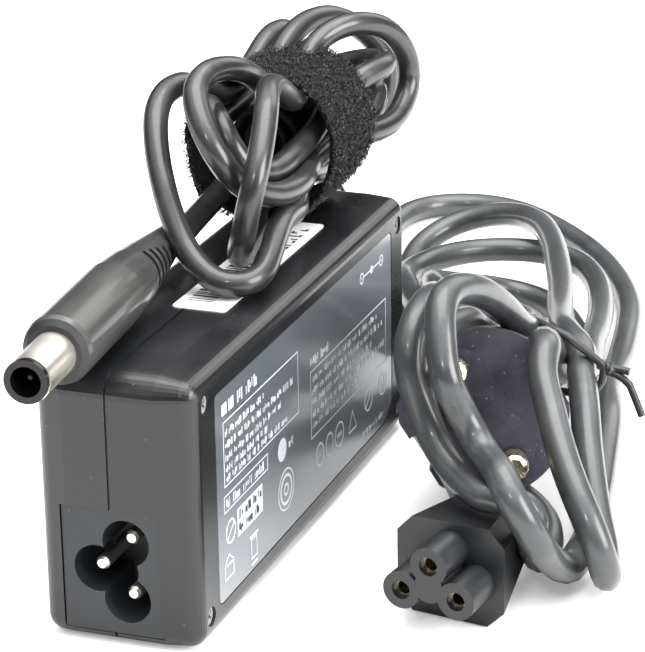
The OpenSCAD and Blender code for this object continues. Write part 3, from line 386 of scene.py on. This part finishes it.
# ---- output lead: out of the gland, four and a half turns through the strap, then into the plug ----------------
output_route = [
    (-0.9, 66.75, 23.7), (-0.9, 72, 23.7), (-3, 77.5, 27), (-8.5, 80.5, 34), (-14.5, 80, 44), (-17, 77.5, 54),
    (-16.5, 74.5, 64), (-14, 71, 71.5), (-13.9, 64, 75.2), (-14.8, 58, 75.7), (-15, 52, 73), (-14.8, 44, 70),
    (-14.8, 31, 69.6), (-15.2, 22, 74), (-15.6, 15, 77), (-16.8, 9.5, 76.4), (-16.3, 5, 74.8), (-13.9, -1, 70.7),
    (-11.1, -5.5, 65.4), (-8.9, -8, 61.4), (-5.8, -10.5, 56), (-1, -13.5, 51.6), (3.4, -15.5, 49.8), (7.6, -15, 49.8),
    (9.6, -10.5, 50.3), (8.2, -4, 52.6), (6.6, 5, 55.2), (5.6, 10, 55), (4.6, 19, 53.2), (1.5, 28, 52.5),
    (-1.5, 36, 53.5), (-3, 48, 52.5), (-3, 58, 51), (-3, 68, 50), (-1, 76, 52), (1, 81, 58), (1.5, 82, 64),
    (-1, 80.5, 69.8), (-4.2, 77.5, 73), (-6, 71, 76.5), (-8.5, 62, 77.7), (-9.3, 55, 76.5), (-10, 47, 72.6),
    (-5.4, 31, 72.3), (-4.5, 21, 77.5), (-4.2, 14, 80.5), (-6.9, 8, 82), (-8.3, 3.6, 80.7), (-7.2, 0, 78.9),
    (-4.4, -4, 75.7), (-1.9, -6, 72.4), (0.8, -6, 68), (2.3, -3.6, 64.5), (4.4, 3, 60.8), (5.3, 8, 59.3),
    (5.9, 15, 58.6), (5, 23, 58.6), (2.3, 31, 58), (2, 48, 58.2), (5, 55, 57.6), (7.2, 63, 57), (7.4, 71, 58.1),
    (7.9, 76, 62.3), (7.6, 76, 67.4), (6.4, 72, 72.8), (4.1, 66, 77), (1.4, 60, 78.3), (-2.2, 56, 77.6),
    (-4.5, 51, 74.5), (0, 31, 69.5), (1.1, 22, 75), (1.6, 14, 78.2), (4.9, 5, 77), (6.9, -3, 71.6), (7.4, -8, 67),
    (6.1, -9, 61.3), (5, -8, 56.4), (2.4, -4.5, 51.4), (0.5, 3, 49.7), (-2, 14, 49.7), (-5, 24, 51), (-6.2, 31, 52.9),
    (-6, 46, 53.2), (-3.5, 54, 54), (1, 60, 57), (4, 66, 61), (2, 73, 63), (-6, 77, 62), (-13, 72, 62),
    (-16.5, 62, 64), (-16, 52, 65.5), (-15.9, 44, 65), (-16.6, 31, 64), (-14, 20, 69.5), (-9.5, 13, 74.4),
    (-7.2, 9.5, 74), (-5.4, 8, 71.8), (-2.8, 6, 68.4), (-1, 6, 65.2), (0.4, 7.5, 62.6), (2, 13, 61.2),
    (2.6, 20, 61.8), (2.4, 26, 62.5), (2.6, 31, 62.8), (2, 47, 66.5), (5, 54, 69.5), (8.3, 61, 70), (5, 68, 69),
    (-1, 71.5, 68), (-7, 69, 66.5), (-12, 62, 63), (-13.5, 54, 59), (-13, 46, 56.5), (-12.3, 31, 54.8),
    (-11.9, 19.7, 53.5), (-10.6, 7, 53.5), (-9.1, -3.6, 53.5)]
output_line = settle(output_route, OUTPUT_THICK, [(off_box, *CASE, 2.3)], 160)
output_cord = lead("output_cord", output_line, OUTPUT_THICK, finishes["dc_cord"])
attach(output_cord, "adapter")
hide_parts("dc_cord_start", "dc_cord_hank", "dc_cord_tail")

# ---- mains lead: three turns on the floor, held by the twist tie --------------
mains_route = [
    (50.2, -0.6, 5.2), (49, 4, 3.6), (46, 9.5, 2.8), (40.5, 17, 2.8), (33, 28, 2.8), (25.5, 41, 2.8), (19, 54, 2.8),
    (13, 70, 2.8), (6, 86, 2.8), (0, 101, 2.8), (-6, 115, 3), (-10, 127, 4), (-11.5, 137, 6.5), (-7.5, 145.5, 9.5),
    (0, 149, 12), (8, 147.5, 13.8), (15, 141, 15), (20.5, 131, 16.3), (26, 117, 17.6), (31, 102, 19), (36, 86, 20),
    (41, 67, 22), (46, 50, 25), (50, 40, 27), (54.5, 30, 25), (58.5, 20, 21.5), (61, 12, 18), (63.5, 6, 13),
    (66, 1, 7), (68.3, -4.5, 3.3), (70.5, -10.5, 3.1), (72, -15.5, 5.2), (71.5, -17.3, 10), (69, -15.8, 15),
    (65, -12, 19.6), (61, -6.5, 24.3), (57, 1.5, 28.5), (52.8, 9, 32.3), (50.4, 18.5, 33.8), (50, 27, 30),
    (51, 35, 22.5), (52, 44, 18.5), (50.5, 53, 16.3), (48.5, 62, 15), (46, 73, 13.5), (43.5, 88, 11.5),
    (39.5, 106, 9.5), (33.5, 124, 8.6), (26, 135.5, 8.4), (17, 139, 8.4), (9, 137.5, 8.6), (2, 133, 8.8),
    (-3, 125.5, 9), (-5.2, 117, 9.4), (-4.8, 108, 10.6), (-2, 100, 12), (2.5, 91, 12.8), (9, 81, 13.6),
    (20, 70, 14.6), (29.5, 60, 16), (37, 50, 18), (41, 40, 22), (40.5, 30, 28), (37.5, 20, 33), (35.8, 12, 36.3),
    (34.8, 5, 37.6), (34.6, -1, 36.2), (35, -4, 32), (35.7, -4.5, 27), (37, -2, 21.5), (39.8, 2, 14.6),
    (43, 6.5, 10.8), (47.5, 10.3, 8.4), (52, 10.5, 5.6), (55.8, 7.6, 3.4), (57.2, 2.5, 2.8), (58.2, -3.5, 2.8),
    (59.3, -10, 4), (59.9, -16.5, 8.5), (58.4, -22.5, 14.3), (54.5, -24.3, 19.4), (50.5, -21, 20.3),
    (46.2, -15.8, 20.4), (42.4, -12, 21.9), (39.3, -9.6, 25), (36.8, -9, 30), (34.9, -9.2, 35.5), (34.2, -8.2, 41),
    (34.8, -3.2, 44.4), (34, 7, 44), (31, 18, 40), (28.5, 30, 33.5), (26, 42, 26), (22.5, 54, 17.5), (17.5, 66, 10.5),
    (9.5, 78, 8.2), (0, 92, 8), (-9.5, 108, 7), (-16.5, 124, 5.6), (-21.5, 141, 4.2), (-25, 157, 3.2),
    (-26, 169, 2.8), (-23, 179, 2.8), (-15.5, 184, 2.8), (-6.5, 184.5, 2.8), (1, 181.5, 2.8), (8.5, 175.5, 2.8),
    (22, 161, 2.8), (33, 144, 2.8), (41, 125, 2.8), (45, 106, 2.8), (47.5, 90, 3), (50, 74, 5), (53, 60, 7.5),
    (56.5, 46, 9), (59, 32, 6.5), (61, 20, 3.5), (62.8, 9, 2.8), (63.6, 2.5, 2.8), (63.4, -4.5, 2.8),
    (62.9, -11, 4.4), (62.5, -17.5, 9), (62.1, -24, 14.6), (60.7, -27.3, 19.6), (57.1, -24.4, 22.6), (53, -17.8, 23),
    (49.9, -13.8, 24.6), (47.3, -12, 27.2), (45.4, -12.2, 31), (43.7, -12.6, 36), (42.3, -12, 40), (41, -10.6, 44.5),
    (39.9, -8, 48), (39.4, -3.5, 49.4), (40.6, 2, 48.4), (41.9, 9, 45.6), (43, 16, 41.4), (43.7, 22, 37),
    (44, 28, 32.2), (43.8, 34, 28.6), (42.4, 44, 26), (37.5, 54.5, 24), (29, 61.5, 22.3), (20, 69, 20.5),
    (12, 79, 18.3), (6.8, 90, 15.8), (5, 102, 12), (6.3, 113, 8), (10.5, 121.5, 5), (17, 125, 3.2), (24, 121.5, 2.8),
    (30.5, 113, 2.8), (36, 101, 2.8), (38, 89, 2.8), (36, 77, 2.8), (32, 65, 3.5), (30, 55, 6), (33.6, 39.7, 12.3)]
mains_line = settle(mains_route, MAINS_THICK, [
    (off_box, *CASE, 2.8),
    # the plug's boot, its drum and its two pins
    (off_rod, (35.7, 33, 14.5), (38.8, 22.7, 18.1), 8.5), (off_drum, (40.4, 17.5, 19.8), (43.6, 7.0, 23.4), 16.2),
    (off_rod, (49.3, 6.2, 15.8), (54.5, -11.1, 21.7), 5.1), (off_rod, (37.9, 7.8, 31), (43.2, -9.4, 36.9), 5.1),
    # the connector's block, its narrower rear and its boot
    (off_box, (40, -36, 0), (57.5, -20, 17.4), 2.8), (off_box, (42, -20, 0), (56, -9, 15.8), 2.8),
    (off_rod, (51.2, -6.5, 7), (50.4, -2.5, 5.6), 6.4)], 200)
mains_cord = lead("mains_cord", mains_line, MAINS_THICK, finishes["mains_cord"])
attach(mains_cord, "mains_lead")
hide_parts("mains_cord_start", "mains_cord_coil", "mains_cord_end")


# ---- shaping --------------------------------------------------------------------
def take_up(*objs):
    """Only these objects are selected, the first of them in hand."""
    bpy.ops.object.select_all(action="DESELECT")
    for obj in objs:
        obj.select_set(True)
    if objs:
        bpy.context.view_layer.objects.active = objs[0]


def took(name, skin, body, slot, *nodes):
    """The object in hand gets its name, finish and body, with its place in its mesh. slot is not used."""
    obj = bpy.context.object
    obj.name = obj.data.name = name
    bpy.ops.object.transform_apply(location=True, rotation=True, scale=True)
    obj.data.materials.clear()
    obj.data.materials.append(skin)
    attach(obj, body)
    if nodes:
        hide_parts(*nodes)
    return obj


def modify(obj, kind, **settings):
    """A modifier, applied."""
    take_up(obj)
    mod = obj.modifiers.new(kind.lower(), kind)
    for key, value in settings.items():
        setattr(mod, key, value)
    bpy.ops.object.modifier_apply(modifier=mod.name)


def mesh_in_hand(name, points, faces):
    """A new mesh through points in mm, in hand."""
    mesh = bpy.data.meshes.new(name)
    mesh.from_pydata([tuple(v * MM for v in point) for point in points], [], faces)
    obj = put(name, mesh)
    take_up(obj)
    return obj


def grid_mesh(name, points, closed=False):
    """A mesh through a grid of points in mm, rows by columns, whose rows may each close on themselves."""
    rows, cols = points.shape[:2]
    faces = []
    for i in range(rows - 1):
        for j in range(cols if closed else cols - 1):
            m = (j + 1) % cols
            faces.append((i * cols + j, (i + 1) * cols + j, (i + 1) * cols + m, i * cols + m))
    return mesh_in_hand(name, points.reshape(-1, 3).tolist(), faces)


# ---- mains connector: its block drawn in towards the cord, as the solid's rear corners are too square ----------
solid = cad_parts["mains_connector"]
block = put("connector_block", solid.data.copy())
take_up(block)
bpy.ops.object.mode_set(mode="EDIT")
bpy.ops.mesh.select_all(action="SELECT")
bpy.ops.mesh.remove_doubles(threshold=0.01 * MM)
bpy.ops.object.mode_set(mode="OBJECT")
cord_x, cord_z = 49.4, 7.2
shoulder_y, taper_length = -27.0, 20.0
for v in block.data.vertices:
    x, y, z = v.co / MM
    back = min(max((y - shoulder_y) / taper_length, 0.0), 1.0)
    if back > 0:
        x = cord_x + (x - cord_x) * (1 - 0.42 * back) - 0.6 * back
        z = cord_z + (z - cord_z) * (1 - 0.26 * back)
        v.co = (x * MM, y * MM, z * MM)
took("connector_block", finishes["connector_black"], "mains_lead", "connector_black", "mains_connector")
modify(block, "BEVEL", width=0.5 * MM, segments=3, limit_method="ANGLE", angle_limit=0.5)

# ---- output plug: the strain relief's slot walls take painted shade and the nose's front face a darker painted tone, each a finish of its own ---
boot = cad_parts["dc_plug_moulding"].data
boot.materials.append(finishes["dc_plug_slots_painted_shade"])
boot.materials.append(finishes["dc_plug_nose_painted_shade"])
plug_tip, plug_yaw = Vector((-4.6, -74, 0)), math.radians(-5)
plug_axis = Vector((math.sin(plug_yaw), math.cos(plug_yaw), 0))
ribs_from, nose_to = 46, 16
for face in boot.polygons:
    along = (face.center / MM - plug_tip).dot(plug_axis)
    facing = face.normal.dot(plug_axis)
    # the slot walls past the ribs take the painted slot shade, the nose's front faces their darker painted shade
    if along > ribs_from and abs(facing) > 0.97:
        face.material_index = 1
    elif along < nose_to and facing < -0.6:
        face.material_index = 2

# ---- strap: a band of loop pile once round the strands, its tail hanging outside ----------------------------
# the middle of its turn and the turn's radii in mm, the foot and top of its tail, and its turn in degrees
strap_x, strap_y, strap_z = -6.0, 39.4, 61.2
turn_across, turn_up = 14.6, 13.8
tail_x, tail_foot, tail_top = -20.1, 50.6, 61.6
full_turn = 372
path = [(tail_x + 3.0 * ((tail_top - z) / 11) ** 2, z) for z in np.arange(tail_foot, tail_top, 0.7)]
tail_count = len(path)
for turn in np.arange(0, full_turn, 3.0):
    shrink = 1.0 - 0.07 * turn / full_turn
    angle = math.radians(180 - turn)
    path.append((strap_x + turn_across * shrink * math.cos(angle), strap_z + turn_up * shrink * math.sin(angle)))
path = np.array(path)
ahead = np.gradient(path, axis=0)
ahead /= np.linalg.norm(ahead, axis=1)[:, None]
outward = np.stack([-ahead[:, 1], ahead[:, 0]], 1)
hang = np.clip(1 - np.arange(len(path)) / tail_count, 0, 1)


def lean(across, z):
    """Where the strap stands along the case, so far across its width from its middle: further back as it rises."""
    return strap_y + 1.06 * across + 0.16 * (z - strap_z)


def droop(across):
    """How much lower the hanging tail is there than at its front rim."""
    return 0.27 * (across + 10)


# across the band and out from its middle: a flat section with rounded rims
section = [(-10, -0.25), (-9.95, 0.35)] + [(u, 0.62) for u in np.arange(-9.6, 9.7, 0.6)] + \
          [(9.95, 0.35), (10, -0.25), (9.6, -0.6)] + [(u, -0.6) for u in np.arange(8, -8.1, -4)] + [(-9.6, -0.6)]
band = np.zeros((len(path), len(section), 3))
for k, (across, lift) in enumerate(section):
    sway = 0.28 * np.sin(np.arange(len(path)) * 0.23) * (1 if abs(across) > 9 else 0.6)
    x, z = (path + outward * lift).T
    band[:, k] = np.stack([x, lean(across, path[:, 1]) + sway, z - droop(across) * hang], 1)
strap = grid_mesh("strap_band", band, closed=True)
bpy.ops.object.mode_set(mode="EDIT")
bpy.ops.mesh.select_all(action="DESELECT")
bpy.ops.mesh.select_non_manifold()
bpy.ops.mesh.fill_holes(sides=0)
bpy.ops.mesh.select_all(action="SELECT")
bpy.ops.mesh.normals_make_consistent(inside=False)
bpy.ops.object.mode_set(mode="OBJECT")
took("strap_band", finishes["strap_fabric"], "adapter", "strap_fabric", "cable_strap")
matt = bpy.data.textures.new("matted pile", "CLOUDS")
matt.noise_scale = 1.3 * MM
modify(strap, "DISPLACE", texture=matt, strength=0.5 * MM, mid_level=0.5, texture_coords="LOCAL")

# the strap's inner end, its smooth hook side out, rolled up among the strands; its black roll also stands in, as
# painted shade, for the dark hollow of the ring
inner_turn = 900
roll = []
for turn in np.arange(0, inner_turn, 12.0):
    reach, angle = 7.4 - 6.6 * turn / inner_turn, math.radians(turn - 60)
    roll.append((strap_x - 0.6 + reach * math.cos(angle), strap_z + 0.4 + reach * math.sin(angle)))
roll = np.array(roll)
tube = np.stack([np.stack([roll[:, 0], np.full(len(roll), y), roll[:, 1]], 1) for y in np.linspace(31.5, 49, 8)], 1)
inner = grid_mesh("strap_inner_end_and_painted_shade", tube)
took("strap_inner_end_and_painted_shade", finishes["strap_hooks_and_painted_shade"], "adapter", "strap_fabric")
modify(inner, "SOLIDIFY", thickness=0.9 * MM, offset=0.0)
modify(inner, "BEVEL", width=0.2 * MM, segments=2)

# loops of the pile: small bent threads, three-sided, over the outside and along both rims
thread_count, thread_half = 8200, 0.055
threads, thread_faces = [], []
for _ in range(thread_count):
    spot_at = random.uniform(1, len(path) - 3)
    k = int(spot_at)
    if k < tail_count and random.random() < 0.6:
        continue
    rim = random.random() < 0.16
    across = random.choice((-10.0, 10.0)) if rim else random.uniform(-10, 10)
    x, z = path[k] + (path[k + 1] - path[k]) * (spot_at - k) + outward[k] * 0.55
    base = np.array([x, lean(across, z), z - droop(across) * hang[k]])
    up = np.array([outward[k, 0], 0.0, outward[k, 1]])
    if rim:
        up = up * random.uniform(-0.3, 0.8) + np.array([0, math.copysign(1, across), 0])
    side = spread.normal(size=3)
    side -= side @ up * up / (up @ up)
    side /= np.linalg.norm(side)
    tall, wide = random.uniform(0.35, 0.95), random.uniform(0.25, 0.6)
    width = np.cross(side, up)
    width = width / np.linalg.norm(width) * thread_half
    first = len(threads)
    for t in (0.0, 0.8, 1.6, 2.4, 3.14):
        p = base - side * wide * math.cos(t) + up * tall * math.sin(t)
        threads += [p - width, p + width, p + up / np.linalg.norm(up) * 0.08]
    for a in range(first, first + 12, 3):
        thread_faces += [(a + u, a + v, a + 3 + v, a + 3 + u) for u, v in ((0, 1), (1, 2), (2, 0))]
mesh_in_hand("strap_loops", threads, thread_faces)
took("strap_loops", finishes["strap_threads"], "adapter", "strap_fabric")

# ---- rating label: white rules, rows of short dashes and plain rings. y runs along the case, z up -----------------
bars = []


def bar(y0, y1, z0, z1, slant=0.0):
    """A thin printed bar, from y0 to y1 and z0 to z1, that may climb along its length."""
    bars.append([(y0, z0), (y1, z0 + slant), (y1, z1 + slant), (y0, z1)])


def rules(y0, y1, z0, z1, thick=0.22):
    """A printed frame of four thin rules."""
    bar(y0, y1, z0, z0 + thick)
    bar(y0, y1, z1 - thick, z1)
    bar(y0, y0 + thick, z0 + thick, z1 - thick)
    bar(y1 - thick, y1, z0 + thick, z1 - thick)


def dashes(y0, y1, z, tall, thick=0.34):
    """A row that stands for a printed line: groups of short upright strokes, no letters."""
    at = y0
    while at < y1 - tall * 0.5:
        for _ in range(random.randint(2, 6)):
            if at < y1 - thick:
                low = random.choice((0.0, 0.0, 0.25)) * tall
                bar(at, at + thick * random.choice((0.6, 1.0, 1.5)), z + low, z + tall * random.choice((0.7, 1.0)))
            at += tall * 0.42
        at += tall * 0.6


def ring(y, z, r, thick, squash=1.0):
    """A printed ring of forty short bars."""
    for k in range(40):
        a, b = 2 * math.pi * k / 40, 2 * math.pi * (k + 1) / 40
        bars.append([(y + q * math.cos(t) * squash, z + q * math.sin(t)) for q, t in
                     ((r - thick, a), (r, a), (r, b), (r - thick, b))])


# the left half: a heading, a framed block of lines, a framed line, and marks below them
bar(-41.6, -39.4, 37.6, 39.6)
dashes(-38.6, -25, 37.5, 2.1, 0.5)
rules(-41.2, -6.3, 24.9, 36.4)
for z, y1 in ((33.6, -22.5), (31.4, -8.5), (29.2, -14), (27.2, -21), (25.5, -12)):
    dashes(-40.4, y1, z, 1.25)
rules(-41.6, -21.6, 20.4, 23.4)
dashes(-40.8, -22.4, 21.0, 1.7, 0.4)
# a solid block, a ring with a stroke, three rings in each other, and a dot with a short line
bar(-36.0, -24.5, 13.9, 19.0)
ring(-39.0, 16.4, 2.2, 0.4)
bar(-40.7, -37.4, 15.0, 15.4, 2.4)
for r, thick in ((3.9, 0.35), (2.9, 0.6), (1.2, 0.5)):
    ring(-13.2, 13.2, r, thick)
ring(-14.7, 21.2, 2.1, 1.9)
dashes(-11.6, -7.6, 20.4, 1.5, 0.4)
# a small house and a small bin, as plain outlines
for y, z, wide, high in ((-42.2, 8.4, 4.2, 2.6), (-30.2, 7.2, 2.8, 3.8)):
    rules(y, y + wide, z, z + high, 0.3)
bar(-42.2, -40.1, 10.9, 11.2, 1.6)
bar(-40.1, -38.0, 12.5, 12.8, -1.6)
bar(-30.8, -26.8, 11.2, 11.6)
bar(-30.2, -27.4, 6.0, 6.5)
# the right half: a line, a framed block of lines, and a row of marks below it
dashes(-0.2, 11.2, 31.0, 1.7, 0.4)
rules(-0.3, 41.0, 17.4, 30.2)
for z, y1 in ((27.8, 36), (25.6, 39), (23.4, 33), (21.2, 39.6), (19.0, 26)):
    dashes(0.6, y1, z, 1.25)
# two upright rings, a ring with a bar, a triangle, a ring with a stroke, and a ring with three bars
for y in (4.0, 9.0):
    ring(y, 12.9, 2.3, 0.45, squash=0.9)
ring(14.4, 12.7, 2.5, 0.4)
rules(13.1, 15.7, 12.3, 13.1, 0.3)
bar(19.4, 21.6, 10.6, 11.0, 3.8)
bar(21.6, 23.8, 14.4, 14.8, -3.8)
bar(19.6, 23.6, 10.6, 11.0)
ring(30.7, 13.4, 2.3, 0.35)
bar(29.2, 32.2, 11.9, 12.3, 2.6)
ring(39.0, 13.7, 2.4, 0.35)
bar(38.1, 38.5, 12.2, 15.2)
bar(39.5, 39.9, 12.2, 15.2)
bar(38.1, 39.9, 13.5, 13.9)
dashes(27.0, 40.0, 7.0, 1.1)
# the polarity mark: a dot between two rings, with a minus at one end and a plus at the other
polarity_z = 38.4
for y, r, thick in ((27.6, 1.1, 0.28), (38.6, 1.1, 0.28), (33.1, 0.75, 0.7)):
    ring(y, polarity_z, r, thick)
bar(28.7, 32.4, 38.3, 38.55)
bar(33.8, 37.5, 38.3, 38.55)
bar(27.2, 28.0, 38.3, 38.5)
bar(38.2, 39.0, 38.3, 38.5)
bar(38.5, 38.7, 38.0, 38.8)


def printed(name, flat, level, skin, slot, up):
    """Printed bars as one thin mesh, standing 0.02 mm proud of what they are printed on, which faces up."""
    points, faces = [], []
    for quad in flat:
        faces.append(tuple(range(len(points), len(points) + 4)))
        points += [(level, a, b) if up == "x" else (a, b, level) for a, b in quad]
    obj = mesh_in_hand(name, points, faces)
    took(name, skin, "adapter", slot)
    modify(obj, "SOLIDIFY", thickness=0.02 * MM, offset=1.0)


label_face = 13.93
printed("label_print", bars, label_face, finishes["ink_white"], "label_film", "x")
bars = []
for z in (14.5, 16.9):
    dashes(-35.4, -25.0, z, 1.6, 0.55)
printed("label_print_dark", bars, label_face + 0.02, finishes["ink_black"], "label_film", "x")

# ---- sticker: two rows of upright bars, short dashes beside them. x runs across the case, y along it --------------
stripes = []


def stripe(x0, x1, y, wide):
    """A printed bar across the sticker."""
    stripes.append([(x0, y), (x1, y), (x1, y + wide), (x0, y + wide)])


for at, end, x0, x1, widths, gaps in ((-16.6, 9.0, -2.0, 2.6, (0.35, 0.6, 1.0, 0.35), (0.4, 0.6, 0.9)),
                                      (9.6, 26.5, -2.4, 0.6, (0.35, 0.6, 0.9), (0.4, 0.6))):
    while at < end:
        wide = random.choice(widths)
        stripe(x0, x1, at, wide)
        at += wide + random.choice(gaps)
for k in range(9):
    at = 10.4 + 1.75 * k
    low, high = ((2.0, 4.6), (2.0, 3.2), (3.3, 4.6))[k % 3]
    stripe(low, high, at, 0.55)
    low = 2.0 if k % 2 else 4.1
    stripe(low, low + 0.5, at, 1.2)
sticker_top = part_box("barcode_sticker")[1].z / MM
printed("sticker_print", stripes, sticker_top + 0.005, finishes["ink_black"], "sticker_paper", "z")

# ---- twist tie: wire round the bundle, two turns of knot, two free tails -------
knot = (58.9, 29, 26.5)
hoop = [(57, 29, 27.9), (54.9, 29, 29.4), (52.6, 29.2, 30.9), (50.2, 29.8, 31.6), (47.8, 31.5, 31.5),
        (45.4, 34.5, 31.3), (43, 36.5, 31), (40.2, 37, 28.8), (37.2, 36.8, 26.4), (36.4, 36, 22.8), (39, 35, 19.6),
        (43, 33, 19.2), (48, 30.5, 19.6), (52, 29, 20.2), (56.5, 29, 20.4), (59.2, 29, 22.6)]
wire_thick, tail_thick = 1.5, 1.4
strands = [("tie_wire", wire_thick, [knot] + hoop + [(59.6, 28.6, 26.2)])]
for phase in (0, math.pi):
    strands.append(("tie_twist", tail_thick, [
        (58.9 + 0.5 * k, 28.9 - 0.05 * k + 0.8 * math.cos(1.9 * k + phase),
         26.3 - 0.16 * k + 0.8 * math.sin(1.9 * k + phase)) for k in range(6)]))
strands.append(("tie_tail", tail_thick, [(60.9, 28.8, 25.9), (62.6, 28.7, 25.8), (64.4, 28.6, 25.6)]))
strands.append(("tie_tail", tail_thick, [(60.6, 28.7, 25.1), (62.4, 28.5, 24.7), (63.9, 28.4, 24.1),
                                         (65.6, 28.2, 20.8), (67, 28, 17.6)]))
wires = []
for name, thick, points in strands:
    wires.append(lead(name, settle(points, 0.2, [], 6), thick, finishes["tie_black"]))
    take_up(wires[-1])
    bpy.ops.object.convert(target="MESH")
take_up(*wires)
bpy.ops.object.join()
took("tie_wire", finishes["tie_black"], "mains_lead", "tie_black", "twist_tie")

# ---- floor: white paper that glows a little for the camera alone, and keeps its shadows -------------------------
take_up()
bpy.ops.mesh.primitive_grid_add(x_subdivisions=8, y_subdivisions=8, size=6.0, location=(0, 0, -0.0002))
floor = bpy.context.object
floor.name = "floor"
bpy.ops.object.transform_apply(location=True, rotation=True, scale=True)
paper = bpy.data.materials.new("studio_paper")
paper.use_nodes = True
tree = paper.node_tree
tree.nodes.clear()
rays = add(tree, "LightPath").outputs
dull = add(tree, "BsdfDiffuse", {"Color": lin("#F2F2F2")}).outputs[0]
glow = add(tree, "Emission", {"Color": lin("#FFFFFF"), "Strength": 0.3}).outputs[0]
none = add(tree, "Emission", {"Color": (0, 0, 0, 1), "Strength": 0.0}).outputs[0]
lift = add(tree, "MixShader", {0: rays["Is Camera Ray"], 1: none, 2: glow}).outputs[0]
both = add(tree, "AddShader", {0: dull, 1: lift}).outputs[0]
add(tree, "OutputMaterial", {"Surface": both})
floor.data.materials.append(paper)

# ---- world: white behind the object. What lights and mirrors in it is a ramp from grey walls to a bright ceiling,
# ---- with a white card high behind the case ---------------------------------------------------------------------
world = bpy.data.worlds.new("studio")
bpy.context.scene.world = world
world.use_nodes = True
tree = world.node_tree
tree.nodes.clear()
rays = add(tree, "LightPath").outputs
seen = add(tree, "Math", {0: rays["Is Camera Ray"], 1: rays["Is Transmission Ray"]}, operation="MAXIMUM").outputs[0]
way = add(tree, "TexCoord").outputs["Generated"]
rise = add(tree, "SeparateXYZ", {"Vector": way}).outputs["Z"]
climb = add(tree, "MapRange", {"Value": rise, "From Min": -0.2, "From Max": 1.0}).outputs[0]
sky = add(tree, "ValToRGB", {"Fac": climb},
          stops=[(0.1, "#4A4C4E"), (0.45, "#26282A"), (0.58, "#7C7E80"), (0.8, "#FFFFFF")]).outputs["Color"]
high = add(tree, "MapRange", {"Value": rise, "From Min": 0.4, "From Max": 0.95, "To Min": 1.0,
                              "To Max": 2.6}).outputs[0]
card = add(tree, "VectorMath", {0: way, 1: (0.22, 0.86, 0.46)}, operation="DOT_PRODUCT").outputs["Value"]
card = add(tree, "MapRange", {"Value": card, "From Min": 0.94, "From Max": 0.985, "To Min": 0.0,
                              "To Max": 2.4}).outputs[0]
room = add(tree, "Background", {"Color": sky, "Strength": high}).outputs[0]
card = add(tree, "Background", {"Color": (1, 1, 1, 1), "Strength": card}).outputs[0]
room = add(tree, "AddShader", {0: room, 1: card}).outputs[0]
white = add(tree, "Background", {"Color": (1, 1, 1, 1), "Strength": 1.0}).outputs[0]
mix = add(tree, "MixShader", {0: seen, 1: room, 2: white}).outputs[0]
add(tree, "OutputWorld", {"Surface": mix})


def softbox(name, place, aim, size, power):
    """A square area lamp at place, turned to aim."""
    light = bpy.data.lights.new(name, "AREA")
    light.size = size
    light.energy = power
    lamp = put(name, light)
    lamp.location = place
    lamp.rotation_euler = (Vector(aim) - Vector(place)).to_track_quat("-Z", "Y").to_euler()
    return lamp


lamps = [softbox("overhead", (0.1, 0.1, 1.0), (0, 0.02, 0), 0.9, 13.0),
         softbox("left_front", (-0.75, -0.65, 0.6), (0, 0, 0.03), 0.6, 0.4),
         softbox("right_side", (0.95, -0.1, 0.45), (0.03, 0, 0.03), 0.6, 16.0),
         softbox("small_front", (0.1, -0.85, 0.75), (0, 0, 0.03), 0.1, 2.0)]

# ---- camera: a long lens before the inlet's end, looking down a little ------------------------------------------
yaw, pitch, tilt = (math.radians(v) for v in (20.212, -20.114, -0.905))
forward = Vector((-math.sin(yaw) * math.cos(pitch), math.cos(yaw) * math.cos(pitch), math.sin(pitch)))
level = Vector((math.cos(yaw), math.sin(yaw), 0))
steep = level.cross(forward)
right = math.cos(tilt) * level + math.sin(tilt) * steep
above = -math.sin(tilt) * level + math.cos(tilt) * steep
eye = bpy.data.cameras.new("camera")
eye.lens = 152.3
eye.sensor_width = 36
eye.clip_start = 0.01
camera = put("camera", eye)
camera.matrix_world = (Matrix.Translation((0.17242, -0.42415, 0.20458))
                       @ Matrix((right, above, -forward)).transposed().to_4x4())
bpy.context.scene.camera = camera
bpy.context.scene.view_settings.view_transform = "Standard"
